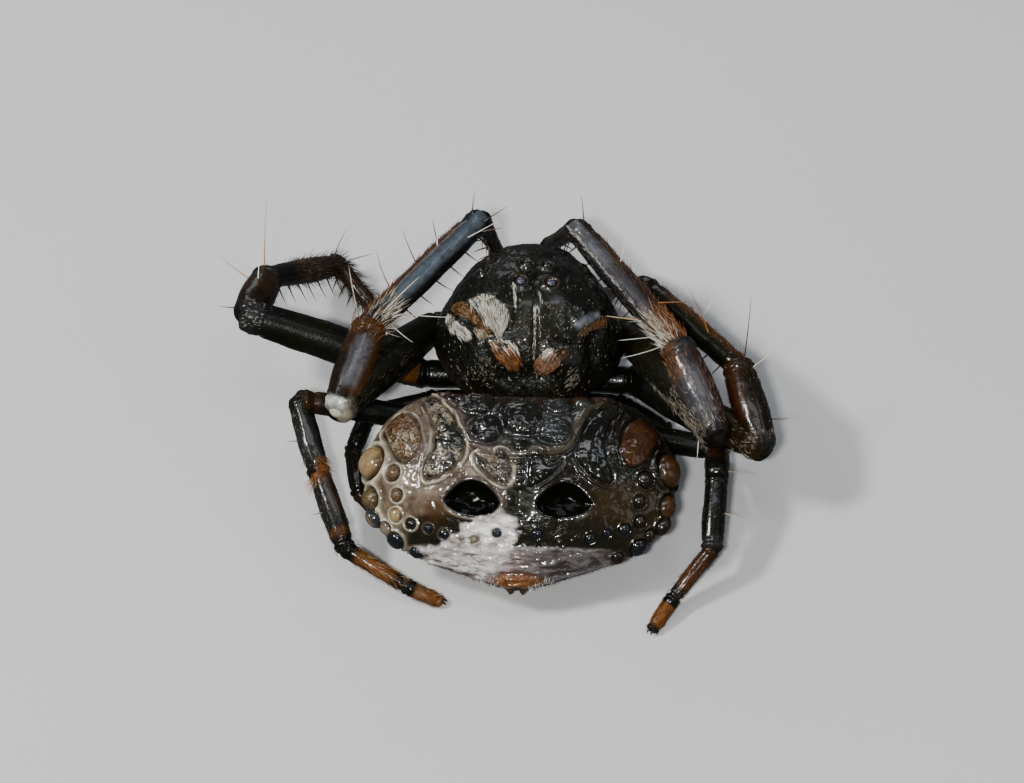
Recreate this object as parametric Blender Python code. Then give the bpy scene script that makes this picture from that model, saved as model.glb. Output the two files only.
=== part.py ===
"""Bird-dropping spider, a still model at life size, resting with folded legs.

The head points toward -Y, the back is up and the floor is z = 0.
Shapes are worked out in millimetres, and finish_part() turns each into metres.
"""
import math
import random

import bmesh
import bpy
from mathutils import Matrix, Vector

MM = 0.001
PART = "bird_dropping_spider"
UP = Vector((0.0, 0.0, 1.0))

# Space left between pieces that meet
GAP = 0.07
WELD = 0.0005
FLOOR = 0.0

# Rows of y, half width, top, rim and bottom, from the front of each body half to its rear
ABDOMEN_ROWS = (
    (0.05, 1.30, 2.90, 2.30, 1.70),
    (0.40, 2.80, 3.25, 2.20, 1.30),
    (1.30, 3.66, 3.52, 2.00, 0.78),
    (2.20, 3.86, 3.45, 1.85, 0.48),
    (3.10, 3.72, 3.12, 1.68, 0.42),
    (3.70, 3.34, 2.74, 1.50, 0.46),
    (4.20, 2.70, 2.25, 1.32, 0.55),
    (4.70, 1.25, 1.62, 1.10, 0.70),
    (5.00, 0.20, 1.15, 1.00, 0.90),
)
CARAPACE_ROWS = (
    (-4.05, 0.85, 3.30, 2.70, 2.25),
    (-3.80, 1.38, 3.66, 2.50, 1.92),
    (-3.00, 1.98, 4.10, 2.38, 1.72),
    (-1.90, 2.40, 4.30, 2.30, 1.70),
    (-1.20, 2.30, 4.15, 2.26, 1.70),
    (-0.50, 1.85, 3.65, 2.24, 1.72),
    (-0.05, 1.35, 3.08, 2.20, 1.76),
    (0.22, 0.80, 2.55, 2.14, 1.86),
)
ABDOMEN_AROUND = 40
ABDOMEN_ALONG = 26
CARAPACE_AROUND = 28
CARAPACE_ALONG = 20

# The front edge of the abdomen is hollowed to fit round the carapace
NOTCH_DEPTH = 0.45
NOTCH_HALF_WIDTH = 2.4
NOTCH_REACH = 1.3

# Powers that square or round the cross sections
SIDE_POWER = 0.83
CROWN_POWER = 1.2
BELLY_POWER = 1.8

# The carapace sits a little to the right of the abdomen's midline
HEAD_SHIFT = -0.1

# Plates on the back: x, y, half width, half length, height, turn in degrees
MIRRORED_PLATES = (
    (1.90, 2.05, 0.42, 1.18, 0.13, 4.0),
    (2.88, 1.88, 0.52, 0.72, 0.15, -10.0),
    (0.96, 1.12, 0.36, 0.36, 0.12, 0.0),
    (0.80, 1.98, 0.33, 0.32, 0.12, 0.0),
    (0.54, 2.95, 0.34, 0.34, 0.09, 20.0),
    (1.10, 3.57, 0.60, 0.34, 0.07, 0.0),
)
MIDDLE_PLATES = (
    (0.0, 1.50, 0.42, 0.50, 0.14, 0.0),
    (0.0, 2.36, 0.20, 0.18, 0.09, 0.0),
)
PLATE_DEPTH = 0.16
PLATE_SIDES = 10

# Beads along the rim: distance along the body, angle up from the rim in degrees, and radius
RIM_BEADS = (
    (2.20, 20.0, 0.43),
    (3.05, 12.0, 0.30),
    (3.40, -4.0, 0.28),
    (3.74, 10.0, 0.19),
    (4.00, 8.0, 0.24),
    (4.28, 10.0, 0.18),
)

# Beads on the back: x, distance along the body, and radius
BACK_BEADS = (
    (3.12, 2.75, 0.22),
    (3.00, 3.27, 0.18),
    (3.02, 3.64, 0.17),
    (2.64, 3.88, 0.15),
    (2.20, 4.04, 0.12),
    (1.80, 4.18, 0.13),
    (1.05, 4.32, 0.13),
    (0.50, 4.22, 0.14),
)
BEAD_SIDES = 8
BEAD_RINGS = 5

# Eyes: x from the middle of the face, y and radius, for one side; the face is turned a little to the right
EYES = {
    "median_front": (0.26, -2.72, 0.13),
    "median_rear": (0.38, -2.08, 0.15),
    "lateral_front": (1.22, -3.05, 0.13),
    "lateral_rear": (1.38, -2.62, 0.13),
}
EYE_SUNK = 0.45
EYE_SHIFT = -0.15

# Leg joints: coxa root, trochanter end, knee, patella end, tibia end, metatarsus end, tip
JOINTS = {
    "left_1": (
        (0.45, -2.30, 1.25), (2.35, -2.50, 1.90), (4.55, 1.00, 2.90), (3.86, -1.12, 3.55),
        (1.24, -4.72, 3.50), (0.78, -5.12, 1.50), (0.50, -5.30, 0.10),
    ),
    "right_1": (
        (-0.55, -2.30, 1.25), (-2.45, -2.50, 1.90), (-4.83, 1.42, 2.85), (-3.83, -0.72, 3.58),
        (-1.18, -4.55, 3.45), (-0.45, -5.45, 1.60), (-0.30, -5.90, 0.10),
    ),
    "left_2": (
        (0.45, -1.52, 1.20), (2.70, -1.45, 1.28), (7.02, -2.13, 2.60), (6.60, -3.68, 2.20),
        (4.93, -5.45, 0.62), (4.00, -4.30, 0.32), (3.40, -3.30, 0.10),
    ),
    "right_2": (
        (-0.55, -1.52, 1.20), (-2.80, -1.40, 1.28), (-5.98, 1.41, 2.38), (-5.33, -0.69, 2.90),
        (-2.95, -3.61, 2.40), (-2.35, -4.55, 1.10), (-1.95, -5.15, 0.10),
    ),
    "left_3": (
        (0.45, -0.76, 1.18), (2.40, -0.66, 1.12), (3.95, -0.22, 1.00), (4.25, 0.65, 0.70),
        (4.05, 1.80, 0.45), (3.45, 2.45, 0.25), (2.90, 2.90, 0.10),
    ),
    "right_3": (
        (-0.55, -0.76, 1.18), (-2.50, -0.66, 1.10), (-3.60, -0.14, 0.82), (-3.62, 0.72, 0.58),
        (-3.35, 1.85, 0.40), (-2.90, 2.55, 0.25), (-2.50, 3.05, 0.10),
    ),
    "left_4": (
        (0.40, -0.10, 1.16), (2.10, 0.06, 1.15), (5.60, 0.25, 2.20), (5.00, 2.07, 1.60),
        (4.27, 3.85, 0.90), (2.64, 4.60, 0.36), (1.87, 4.81, 0.10),
    ),
    "right_4": (
        (-0.50, -0.10, 1.16), (-2.20, 0.06, 1.12), (-4.90, 0.78, 1.35), (-4.88, 1.95, 1.75),
        (-4.80, 3.70, 1.10), (-3.83, 4.77, 0.36), (-3.38, 5.48, 0.10),
    ),
}
SEGMENTS = ("coxa", "femur", "patella", "tibia", "foot")

# Radii at the start, middle and end of each segment, by pair of legs
RADII = {
    "1": {
        "coxa": (0.34, 0.37, 0.38), "femur": (0.38, 0.53, 0.42), "patella": (0.36, 0.48, 0.42),
        "tibia": (0.34, 0.37, 0.31), "foot": (0.24, 0.20, 0.15),
    },
    "2": {
        "coxa": (0.32, 0.35, 0.36), "femur": (0.36, 0.48, 0.42), "patella": (0.36, 0.45, 0.38),
        "tibia": (0.28, 0.31, 0.27), "foot": (0.23, 0.19, 0.15),
    },
    "3": {
        "coxa": (0.28, 0.30, 0.30), "femur": (0.27, 0.29, 0.25), "patella": (0.22, 0.24, 0.22),
        "tibia": (0.21, 0.22, 0.19), "foot": (0.18, 0.16, 0.14),
    },
    "4": {
        "coxa": (0.28, 0.29, 0.28), "femur": (0.27, 0.31, 0.28), "patella": (0.27, 0.31, 0.27),
        "tibia": (0.26, 0.29, 0.24), "foot": (0.21, 0.19, 0.15),
    },
}

# How far the middle of a femur bows upward
BOW = {"left_1": 0.16, "right_1": 0.30, "left_2": 0.05, "left_4": 0.10}
LEG_SIDES = 10
FOOT_SIDES = 8

# Bold bristles: segment, share along it, direction and length
BRISTLES = {
    "left_1": (
        ("patella", 0.95, (0.25, -0.50, 0.75), 1.35), ("tibia", 0.06, (-0.65, -0.40, 0.65), 1.15),
        ("tibia", 0.25, (0.50, -0.50, 0.65), 1.00), ("tibia", 0.48, (0.45, -0.55, 0.70), 1.00),
        ("tibia", 0.66, (0.25, -0.60, 0.75), 0.70), ("tibia", 0.80, (-0.85, -0.20, 0.50), 0.80),
        ("tibia", 0.15, (-1.00, 0.10, 0.05), 1.25), ("tibia", 0.95, (-0.80, -0.35, 0.40), 0.65),
        ("tibia", 0.95, (0.00, -0.60, 0.80), 0.60),
    ),
    "right_1": (
        ("tibia", 0.62, (-0.30, -0.55, 0.75), 0.65), ("tibia", 0.95, (0.00, -0.60, 0.80), 0.70),
        ("tibia", 0.25, (1.00, 0.00, 0.05), 1.15), ("tibia", 0.12, (0.95, 0.15, -0.05), 0.85),
        ("femur", 0.88, (0.10, 0.60, -0.60), 0.60),
    ),
    "left_2": (
        ("patella", 0.93, (0.04, -0.60, 0.80), 1.95), ("patella", 0.74, (0.85, -0.35, 0.40), 1.15),
        ("patella", 0.58, (0.00, -0.50, 0.85), 0.60), ("patella", 0.12, (1.00, 0.00, 0.05), 0.45),
        ("tibia", 0.90, (-0.25, -0.60, 0.75), 0.80), ("tibia", 0.95, (-0.90, -0.20, 0.30), 0.75),
    ),
    "right_2": (
        ("patella", 0.95, (-0.10, -0.55, 0.80), 1.75), ("patella", 0.90, (-0.75, -0.35, 0.50), 1.30),
        ("patella", 0.30, (-1.00, 0.00, 0.00), 0.50), ("tibia", 0.30, (0.30, -0.45, 0.80), 1.20),
    ),
    "left_4": (("patella", 0.55, (0.90, 0.00, 0.30), 0.45), ("tibia", 0.50, (0.80, 0.30, 0.30), 0.40)),
    "right_4": (("patella", 0.80, (-1.00, 0.00, 0.10), 0.55), ("tibia", 0.50, (-0.80, 0.30, 0.30), 0.40)),
}

# Paired thorns under the gripping legs: segment, shares along it, length
THORN_ROWS = (("tibia", (0.30, 0.55, 0.80), 0.55), ("foot", (0.14, 0.28, 0.42), 0.42))
THORN_SPREAD = 0.9
THORN_LEAN = 0.35

# Radius of a bristle where it is rooted, along its shaft and at its tip
BRISTLE_RADII = (0.15, 0.075, 0.012)
BRISTLE_SHAFT_AT = 0.35
BRISTLE_ROOT_AT = 0.45
BRISTLE_SAG = 0.05
SEED = 11

# Finish of each kind of piece: colour, roughness
FINISHES = {
    "black_shell": ((0.012, 0.010, 0.009), 0.22),
    "brown_shell": ((0.040, 0.018, 0.008), 0.30),
    "abdomen_skin": ((0.120, 0.095, 0.070), 0.30),
    "eye": ((0.020, 0.014, 0.020), 0.08),
    "foot_orange": ((0.120, 0.050, 0.012), 0.40),
}


def clear_scene():
    """Start from an empty scene."""
    for item in list(bpy.data.objects):
        bpy.data.objects.remove(item)


def blend_rows(rows, place):
    """Read the sizes at one place along rows, on a smooth curve through them."""
    last = len(rows) - 1
    if place <= rows[0][0]:
        return rows[0][1:]
    if place >= rows[last][0]:
        return rows[last][1:]
    index = max(i for i in range(last) if rows[i][0] <= place)
    low, high = rows[index], rows[index + 1]
    before, after = rows[max(index - 1, 0)], rows[min(index + 2, last)]
    span = high[0] - low[0]
    share = (place - low[0]) / span
    sizes = []
    for k in range(1, len(low)):
        slope_in = (high[k] - before[k]) / (high[0] - before[0]) * span
        slope_out = (after[k] - low[k]) / (after[0] - low[0]) * span
        square, cube = share ** 2, share ** 3
        sizes.append(
            low[k] * (2 * cube - 3 * square + 1) + slope_in * (cube - 2 * square + share)
            + high[k] * (3 * square - 2 * cube) + slope_out * (cube - square)
        )
    return sizes


def signed_power(value, power):
    return math.copysign(abs(value) ** power, value)


def abdomen_point(place, angle):
    """Point on the abdomen at a distance along it and an angle up from its left rim."""
    half, top, rim, bottom = blend_rows(ABDOMEN_ROWS, place)
    x = half * signed_power(math.cos(angle), SIDE_POWER)
    rise = math.sin(angle)
    if rise >= 0:
        z = rim + (top - rim) * rise ** CROWN_POWER
    else:
        z = rim - (rim - bottom) * (-rise) ** BELLY_POWER
    middle = max(0.0, 1.0 - (x / NOTCH_HALF_WIDTH) ** 2)
    front = max(0.0, 1.0 - place / NOTCH_REACH)
    return Vector((x, place + NOTCH_DEPTH * middle * front, z))


def carapace_point(place, angle):
    """Point on the carapace at a distance along it and an angle up from its left rim."""
    half, top, rim, bottom = blend_rows(CARAPACE_ROWS, place)
    x = HEAD_SHIFT + half * signed_power(math.cos(angle), SIDE_POWER)
    rise = math.sin(angle)
    if rise >= 0:
        z = rim + (top - rim) * rise ** CROWN_POWER
    else:
        z = rim - (rim - bottom) * (-rise) ** BELLY_POWER
    return Vector((x, place, z))


def surface_normal(point_on, place, angle):
    """Outward direction of a body surface."""
    step = 0.01
    along = point_on(place + step, angle) - point_on(place - step, angle)
    around = point_on(place, angle + step) - point_on(place, angle - step)
    return around.cross(along).normalized() * -1.0


def angle_over(rows, place, x):
    """Angle up from the left rim where a surface passes over x."""
    half = blend_rows(rows, place)[0]
    share = max(-1.0, min(1.0, x / half))
    return math.acos(signed_power(share, 1.0 / SIDE_POWER))


def new_object(name, mesh):
    item = bpy.data.objects.new(name, mesh)
    bpy.context.scene.collection.objects.link(item)
    return item


def object_from_bmesh(name, shape):
    bmesh.ops.recalc_face_normals(shape, faces=shape.faces)
    mesh = bpy.data.meshes.new(name)
    shape.to_mesh(mesh)
    shape.free()
    return new_object(name, mesh)


def loft(name, rings):
    """Closed skin over rings with the same number of points, ends capped."""
    shape = bmesh.new()
    loops = [[shape.verts.new(point) for point in ring] for ring in rings]
    count = len(loops[0])
    for near, far in zip(loops, loops[1:]):
        for k in range(count):
            nxt = (k + 1) % count
            shape.faces.new((near[k], near[nxt], far[nxt], far[k]))
    shape.faces.new(loops[0])
    shape.faces.new(loops[-1])
    return object_from_bmesh(name, shape)


def body_loft(name, rows, point_on, around, along):
    """One body half, with rings closer together toward its ends."""
    first, last = rows[0][0], rows[-1][0]
    rings = []
    for k in range(along):
        share = 0.5 - 0.5 * math.cos(math.pi * k / (along - 1))
        share = 0.5 * share + 0.5 * k / (along - 1)
        place = first + (last - first) * share
        rings.append([point_on(place, 2 * math.pi * j / around) for j in range(around)])
    return loft(name, rings)


def evaluated_mesh(item):
    graph = bpy.context.evaluated_depsgraph_get()
    return bpy.data.meshes.new_from_object(item.evaluated_get(graph))


def tube(name, points, radii, sides):
    """Round solid tube through points, with its radius given at each."""
    curve = bpy.data.curves.new(name, "CURVE")
    curve.dimensions = "3D"
    curve.bevel_depth = 1.0
    curve.bevel_resolution = (sides - 4) // 2
    curve.use_fill_caps = True
    spline = curve.splines.new("POLY")
    spline.points.add(len(points) - 1)
    for slot, point, radius in zip(spline.points, points, radii):
        slot.co = (*point, 1.0)
        slot.radius = radius
    guide = new_object(name, curve)
    bpy.context.view_layer.update()
    mesh = evaluated_mesh(guide)
    place = guide.matrix_world.copy()
    bpy.data.objects.remove(guide)
    shape = bmesh.new()
    shape.from_mesh(mesh)
    bmesh.ops.remove_doubles(shape, verts=shape.verts, dist=WELD)
    item = object_from_bmesh(name, shape)
    item.matrix_world = place
    return item


def ball(name, centre, sizes, turn=None, sides=BEAD_SIDES, rings=BEAD_RINGS):
    """Ellipsoid with half sizes along its own axes, turned by a rotation matrix."""
    shape = bmesh.new()
    bmesh.ops.create_uvsphere(shape, u_segments=sides, v_segments=rings, radius=1.0)
    place = Matrix.Translation(centre)
    if turn is not None:
        place = place @ turn.to_4x4()
    place = place @ Matrix.Diagonal((*sizes, 1.0))
    bmesh.ops.transform(shape, matrix=place, verts=shape.verts)
    return object_from_bmesh(name, shape)


def cut_plane(item, point, normal):
    """Remove what lies past a plane and close the cut."""
    shape = bmesh.new()
    shape.from_mesh(item.data)
    everything = shape.verts[:] + shape.edges[:] + shape.faces[:]
    cut = bmesh.ops.bisect_plane(
        shape, geom=everything, dist=WELD, plane_co=point, plane_no=normal, clear_outer=True
    )
    edges = [part for part in cut["geom_cut"] if isinstance(part, bmesh.types.BMEdge)]
    if edges:
        bmesh.ops.edgeloop_fill(shape, edges=edges)
    bmesh.ops.recalc_face_normals(shape, faces=shape.faces)
    shape.to_mesh(item.data)
    shape.free()


def keep_largest(item):
    """Keep only the largest closed surface of a mesh."""
    shape = bmesh.new()
    shape.from_mesh(item.data)
    waiting = set(shape.verts)
    groups = []
    while waiting:
        group = {waiting.pop()}
        edge_of_group = list(group)
        while edge_of_group:
            vert = edge_of_group.pop()
            for edge in vert.link_edges:
                other = edge.other_vert(vert)
                if other not in group:
                    group.add(other)
                    edge_of_group.append(other)
        waiting -= group
        groups.append(group)
    groups.sort(key=len, reverse=True)
    for group in groups[1:]:
        bmesh.ops.delete(shape, geom=list(group), context="VERTS")
    shape.to_mesh(item.data)
    shape.free()


def apply_boolean(item, operation, others):
    """Join or cut with every object of others, which are then removed."""
    if not others:
        return
    group = bpy.data.collections.new(item.name + "_tools")
    bpy.context.scene.collection.children.link(group)
    for other in others:
        bpy.context.scene.collection.objects.unlink(other)
        group.objects.link(other)
        other.hide_render = True
        other.display_type = "WIRE"
    step = item.modifiers.new("join", "BOOLEAN")
    step.operation = operation
    step.solver = "EXACT"
    step.operand_type = "COLLECTION"
    step.collection = group
    bpy.context.view_layer.update()
    item.data = evaluated_mesh(item)
    item.modifiers.clear()
    for other in others:
        bpy.data.objects.remove(other)
    bpy.data.collections.remove(group)
    keep_largest(item)


def swollen_copy(item, amount):
    """Copy of a solid moved outward all over, to trim what meets it."""
    copy = new_object(item.name + "_swollen", item.data.copy())
    shape = bmesh.new()
    shape.from_mesh(copy.data)
    shape.normal_update()
    moves = [(vert, vert.normal.copy()) for vert in shape.verts]
    for vert, normal in moves:
        vert.co += normal * amount
    shape.to_mesh(copy.data)
    shape.free()
    return copy


def turn_to(normal):
    """Rotation that stands the Z axis on a surface."""
    return UP.rotation_difference(normal).to_matrix()


def plate(name, x, y, half_width, half_length, height, turn):
    """Low plate that follows the back, domed above it and sunk below it."""
    def spot(share, direction):
        across = share * half_width * math.cos(direction)
        along = share * half_length * math.sin(direction)
        bend = math.radians(turn)
        px = x + across * math.cos(bend) - along * math.sin(bend)
        py = y + across * math.sin(bend) + along * math.cos(bend)
        angle = angle_over(ABDOMEN_ROWS, py, px)
        return abdomen_point(py, angle), surface_normal(abdomen_point, py, angle)

    shape = bmesh.new()
    loops = []
    for share, lift in ((0.62, height), (1.0, 0.02), (0.95, -PLATE_DEPTH)):
        loop = []
        for k in range(PLATE_SIDES):
            point, normal = spot(share, 2 * math.pi * k / PLATE_SIDES)
            loop.append(shape.verts.new(point + normal * lift))
        loops.append(loop)
    for near, far in zip(loops, loops[1:]):
        for k in range(PLATE_SIDES):
            nxt = (k + 1) % PLATE_SIDES
            shape.faces.new((near[k], near[nxt], far[nxt], far[k]))
    for loop, lift in ((loops[0], height * 1.15), (loops[-1], -PLATE_DEPTH)):
        point, normal = spot(0.0, 0.0)
        hub = shape.verts.new(point + normal * lift)
        for k in range(PLATE_SIDES):
            shape.faces.new((loop[k], loop[(k + 1) % PLATE_SIDES], hub))
    return object_from_bmesh(name, shape)


def abdomen_bead(place, angle, radius):
    """Ball with its centre on the abdomen's surface."""
    point = abdomen_point(place, angle)
    normal = surface_normal(abdomen_point, place, angle)
    return ball("bead", point, (radius, radius, radius), turn_to(normal))


def make_abdomen():
    """Abdomen with the plates of its back and the beads of its rim."""
    item = body_loft("abdomen", ABDOMEN_ROWS, abdomen_point, ABDOMEN_AROUND, ABDOMEN_ALONG)
    studs = []
    for row in MIRRORED_PLATES:
        studs.append(plate("plate", *row))
        studs.append(plate("plate", -row[0], *row[1:5], -row[5]))
    for row in MIDDLE_PLATES:
        studs.append(plate("plate", *row))
    for place, degrees, radius in RIM_BEADS:
        angle = math.radians(degrees)
        studs.append(abdomen_bead(place, angle, radius))
        studs.append(abdomen_bead(place, math.pi - angle, radius))
    for x, place, radius in BACK_BEADS:
        for side in (1, -1):
            studs.append(abdomen_bead(place, angle_over(ABDOMEN_ROWS, place, side * x), radius))
    apply_boolean(item, "UNION", studs)
    return item


def make_carapace():
    """Domed shell of the head and thorax."""
    return body_loft(
        "cephalothorax", CARAPACE_ROWS, carapace_point, CARAPACE_AROUND, CARAPACE_ALONG
    )


def make_eyes(carapace):
    """Eight balls, each in a socket of its own."""
    eyes = []
    sockets = []
    for place_name, (x, y, radius) in EYES.items():
        for side_name, side in (("left", 1), ("right", -1)):
            name = f"eye_{place_name}_{side_name}"
            angle = angle_over(CARAPACE_ROWS, y, side * x + EYE_SHIFT)
            point = carapace_point(y, angle)
            normal = surface_normal(carapace_point, y, angle)
            centre = point - normal * radius * EYE_SUNK
            eyes.append(ball(name, centre, (radius,) * 3, turn_to(normal)))
            hole = radius + GAP
            sockets.append(ball("socket", centre, (hole,) * 3, turn_to(normal)))
    for socket in sockets:
        apply_boolean(carapace, "DIFFERENCE", [socket])
    return eyes


def make_sternum(carapace_cutter):
    """Shield between the coxae on the underside."""
    centre = (HEAD_SHIFT, -1.35, 1.24)
    item = ball("sternum", centre, (0.74, 1.72, 0.42), None, 16, 8)
    apply_boolean(item, "DIFFERENCE", [carapace_cutter])
    return item


def segment_points(start, end, bow, over):
    """Points and radius shares along a leg segment that runs a little past its joints."""
    axis = (end - start).normalized()
    first, last = start - axis * over[0], end + axis * over[1]
    stops = (0.0, 0.06, 0.22, 0.5, 0.78, 0.94, 1.0)
    shares = (0.55, 0.84, 1.0, 1.0, 1.0, 0.84, 0.55)
    points = [first.lerp(last, stop) + UP * bow * math.sin(math.pi * stop) for stop in stops]
    return points, stops, shares


def taper(radii, stop):
    """Radius between the start, middle and end values."""
    start, middle, end = radii
    if stop < 0.5:
        return start + (middle - start) * math.sin(math.pi * stop)
    return end + (middle - end) * math.sin(math.pi * stop)


def straight_segment(name, start, end, radii, bow, over):
    points, stops, shares = segment_points(start, end, bow, over)
    sizes = [taper(radii, stop) * share for stop, share in zip(stops, shares)]
    return tube(name, points, sizes, LEG_SIDES)


def foot_segment(name, start, bend, tip, radii):
    """Metatarsus and tarsus as one rod, flattened where it stands on the floor."""
    points, sizes = [], []
    axis = (bend - start).normalized()
    for stop in (-0.06, 0.05, 0.3, 0.6, 0.85):
        points.append(start.lerp(bend, stop))
        sizes.append(radii[0] + (radii[1] - radii[0]) * max(stop, 0.0))
    sizes[0] *= 0.7
    for stop in (0.12, 0.45, 0.8, 1.0, 1.04):
        points.append(bend.lerp(tip, stop))
        sizes.append(radii[1] + (radii[2] - radii[1]) * min(stop, 1.0))
    points[-1] = points[-2] + (points[-1] - points[-2]).normalized() * 0.08
    sizes[-1] *= 0.55
    item = tube(name, points, sizes, FOOT_SIDES)
    cut_plane(item, (0.0, 0.0, FLOOR), (0.0, 0.0, -1.0))
    return item


def mitre(items, joint, before, after):
    """Trim two segments that meet at a joint, each half a gap from the plane between them."""
    incoming = (joint - before).normalized()
    outgoing = (after - joint).normalized()
    normal = (incoming + outgoing).normalized()
    first, second = items
    cut_plane(first, joint - normal * GAP / 2, normal)
    cut_plane(second, joint + normal * GAP / 2, -normal)


def bristle(start, end, radii, share, direction, length, draw):
    """Tapered bristle rooted inside a segment, a little bent and varied."""
    axis = (end - start).normalized()
    way = Vector(direction) + Vector([draw.uniform(-0.04, 0.04) for _ in range(3)])
    way.normalize()
    outward = (way - axis * way.dot(axis)).normalized()
    surface = taper(radii, share)
    root = start.lerp(end, share) + outward * surface * BRISTLE_ROOT_AT
    reach = length + surface * (1.0 - BRISTLE_ROOT_AT)
    middle = root + way * reach * BRISTLE_SHAFT_AT
    tip = root + way * reach - UP * length * BRISTLE_SAG
    return tube("bristle", (root, middle, tip), BRISTLE_RADII, 4)


def thorn_direction(axis, side):
    """Down and to one side of a segment, leaning toward its end."""
    across = axis.cross(UP).normalized()
    below = across.cross(axis).normalized() * -1.0
    return below + across * side * THORN_SPREAD + axis * THORN_LEAN


def add_bristles(side_pair, pieces, joints, radii, draw):
    """Fuse the bristles and thorns of one leg to the segments they grow from."""
    groups = {segment: [] for segment in SEGMENTS}
    for segment, share, direction, length in BRISTLES.get(side_pair, ()):
        groups[segment].append((share, direction, length))
    if side_pair[-1] in "12":
        for segment, shares, length in THORN_ROWS:
            k = SEGMENTS.index(segment)
            axis = (joints[k + 1] - joints[k]).normalized()
            for share in shares:
                for side in (1, -1):
                    groups[segment].append((share, thorn_direction(axis, side), length))
    for k, segment in enumerate(SEGMENTS):
        ends = (joints[k], joints[k + 1], radii[segment])
        tools = [bristle(*ends, *row, draw) for row in groups[segment]]
        apply_boolean(pieces[k], "UNION", tools)


def make_leg(side_pair, body_cutters, draw):
    """Five pieces of one leg, from the body to the floor."""
    pair = side_pair[-1]
    joints = [Vector(point) for point in JOINTS[side_pair]]
    radii = RADII[pair]
    name = "leg_" + side_pair + "_"
    bow = BOW.get(side_pair, 0.0)
    pieces = []
    for k, segment in enumerate(SEGMENTS[:-1]):
        start, end = joints[k], joints[k + 1]
        over = (radii[segment][0] * 0.45, radii[segment][2] * 0.45)
        lift = bow if segment == "femur" else 0.0
        pieces.append(straight_segment(name + segment, start, end, radii[segment], lift, over))
    pieces.append(foot_segment(name + "foot", joints[4], joints[5], joints[6], radii["foot"]))
    for k in range(1, 5):
        mitre((pieces[k - 1], pieces[k]), joints[k], joints[k - 1], joints[k + 1])
    add_bristles(side_pair, pieces, joints, radii, draw)
    cutters = [new_object("trim", cutter.data.copy()) for cutter in body_cutters]
    apply_boolean(pieces[0], "DIFFERENCE", cutters)
    return pieces


def make_chelicera(side_name, side, cutter):
    """Jaw with its fang, hung under the front of the carapace."""
    x = HEAD_SHIFT + side * 0.43
    points = [Vector((x, y, z)) for y, z in (
        (-3.45, 2.35), (-3.60, 2.15), (-3.72, 1.80), (-3.80, 1.40), (-3.82, 1.05), (-3.80, 0.90),
    )]
    item = tube("chelicera_" + side_name, points, (0.24, 0.33, 0.37, 0.35, 0.28, 0.16), LEG_SIDES)
    tip = [Vector((x - side * shift, y, z)) for shift, y, z in (
        (0.02, -3.80, 1.05), (0.04, -3.84, 0.82), (0.12, -3.80, 0.66), (0.22, -3.72, 0.60),
    )]
    fang = tube("fang", tip, (0.13, 0.10, 0.06, 0.02), 6)
    apply_boolean(item, "UNION", [fang])
    apply_boolean(item, "DIFFERENCE", [new_object("trim", cutter.data.copy())])
    return item


def make_palp(side_name, side):
    """Short feeler beside the jaw."""
    points = [Vector((HEAD_SHIFT + side * x, y, z)) for x, y, z in (
        (0.92, -3.10, 1.36), (1.02, -3.25, 1.42), (1.22, -3.70, 1.60), (1.24, -4.00, 1.56),
        (1.14, -4.32, 1.34), (1.02, -4.58, 0.98), (0.96, -4.68, 0.74), (0.95, -4.70, 0.66),
    )]
    radii = (0.14, 0.19, 0.20, 0.19, 0.19, 0.20, 0.15, 0.06)
    return tube("palp_" + side_name, points, radii, FOOT_SIDES)


def make_pedicel(cutters):
    """Narrow waist between the body halves."""
    points = [Vector((HEAD_SHIFT / 2, y, 2.12)) for y in (-0.1, 0.25, 0.65, 1.0)]
    item = tube("pedicel", points, (0.30, 0.28, 0.28, 0.30), LEG_SIDES)
    apply_boolean(item, "DIFFERENCE", cutters)
    return item


def make_spinnerets(cutter):
    """Cluster of six cones under the tail."""
    root = Vector((0.0, 4.42, 0.72))
    cluster = tube("spinnerets", [root, root + Vector((0, 0.08, -0.22))], (0.30, 0.27), LEG_SIDES)
    cones = []
    for reach, spread, radius in ((0.34, 0.16, 0.12), (0.26, 0.05, 0.07), (0.40, 0.13, 0.10)):
        for side in (1, -1):
            start = root + Vector((side * spread, 0.04 + reach * 0.1, -0.12))
            end = start + Vector((side * 0.03, reach * 0.55, -reach * 0.62))
            cones.append(tube("cone", [start, start.lerp(end, 0.7), end],
                              (radius, radius * 0.8, radius * 0.3), 6))
    apply_boolean(cluster, "UNION", cones)
    apply_boolean(cluster, "DIFFERENCE", [cutter])
    return cluster


def make_material(name):
    """Principled material from the finishes."""
    colour, roughness = FINISHES[name]
    material = bpy.data.materials.new(name)
    material.use_nodes = True
    shader = material.node_tree.nodes["Principled BSDF"]
    shader.inputs["Base Color"].default_value = (*colour, 1.0)
    shader.inputs["Roughness"].default_value = roughness
    shader.inputs["Metallic"].default_value = 0.0
    return material


def finish_name(name):
    """Finish that a piece takes, from its name."""
    if name.startswith("eye"):
        return "eye"
    if name.startswith(("abdomen", "spinnerets")):
        return "abdomen_skin"
    if name.endswith("foot"):
        return "foot_orange"
    if name.startswith("palp") or name.startswith(("leg_left_4", "leg_right_4")):
        return "brown_shell"
    return "black_shell"


def centre_on_floor(items):
    """Move that puts the middle of the model's outline over the origin."""
    corners = [item.matrix_world @ vert.co for item in items for vert in item.data.vertices]
    xs = [corner.x for corner in corners]
    ys = [corner.y for corner in corners]
    return Matrix.Translation((-(min(xs) + max(xs)) / 2, -(min(ys) + max(ys)) / 2, 0.0))


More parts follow.
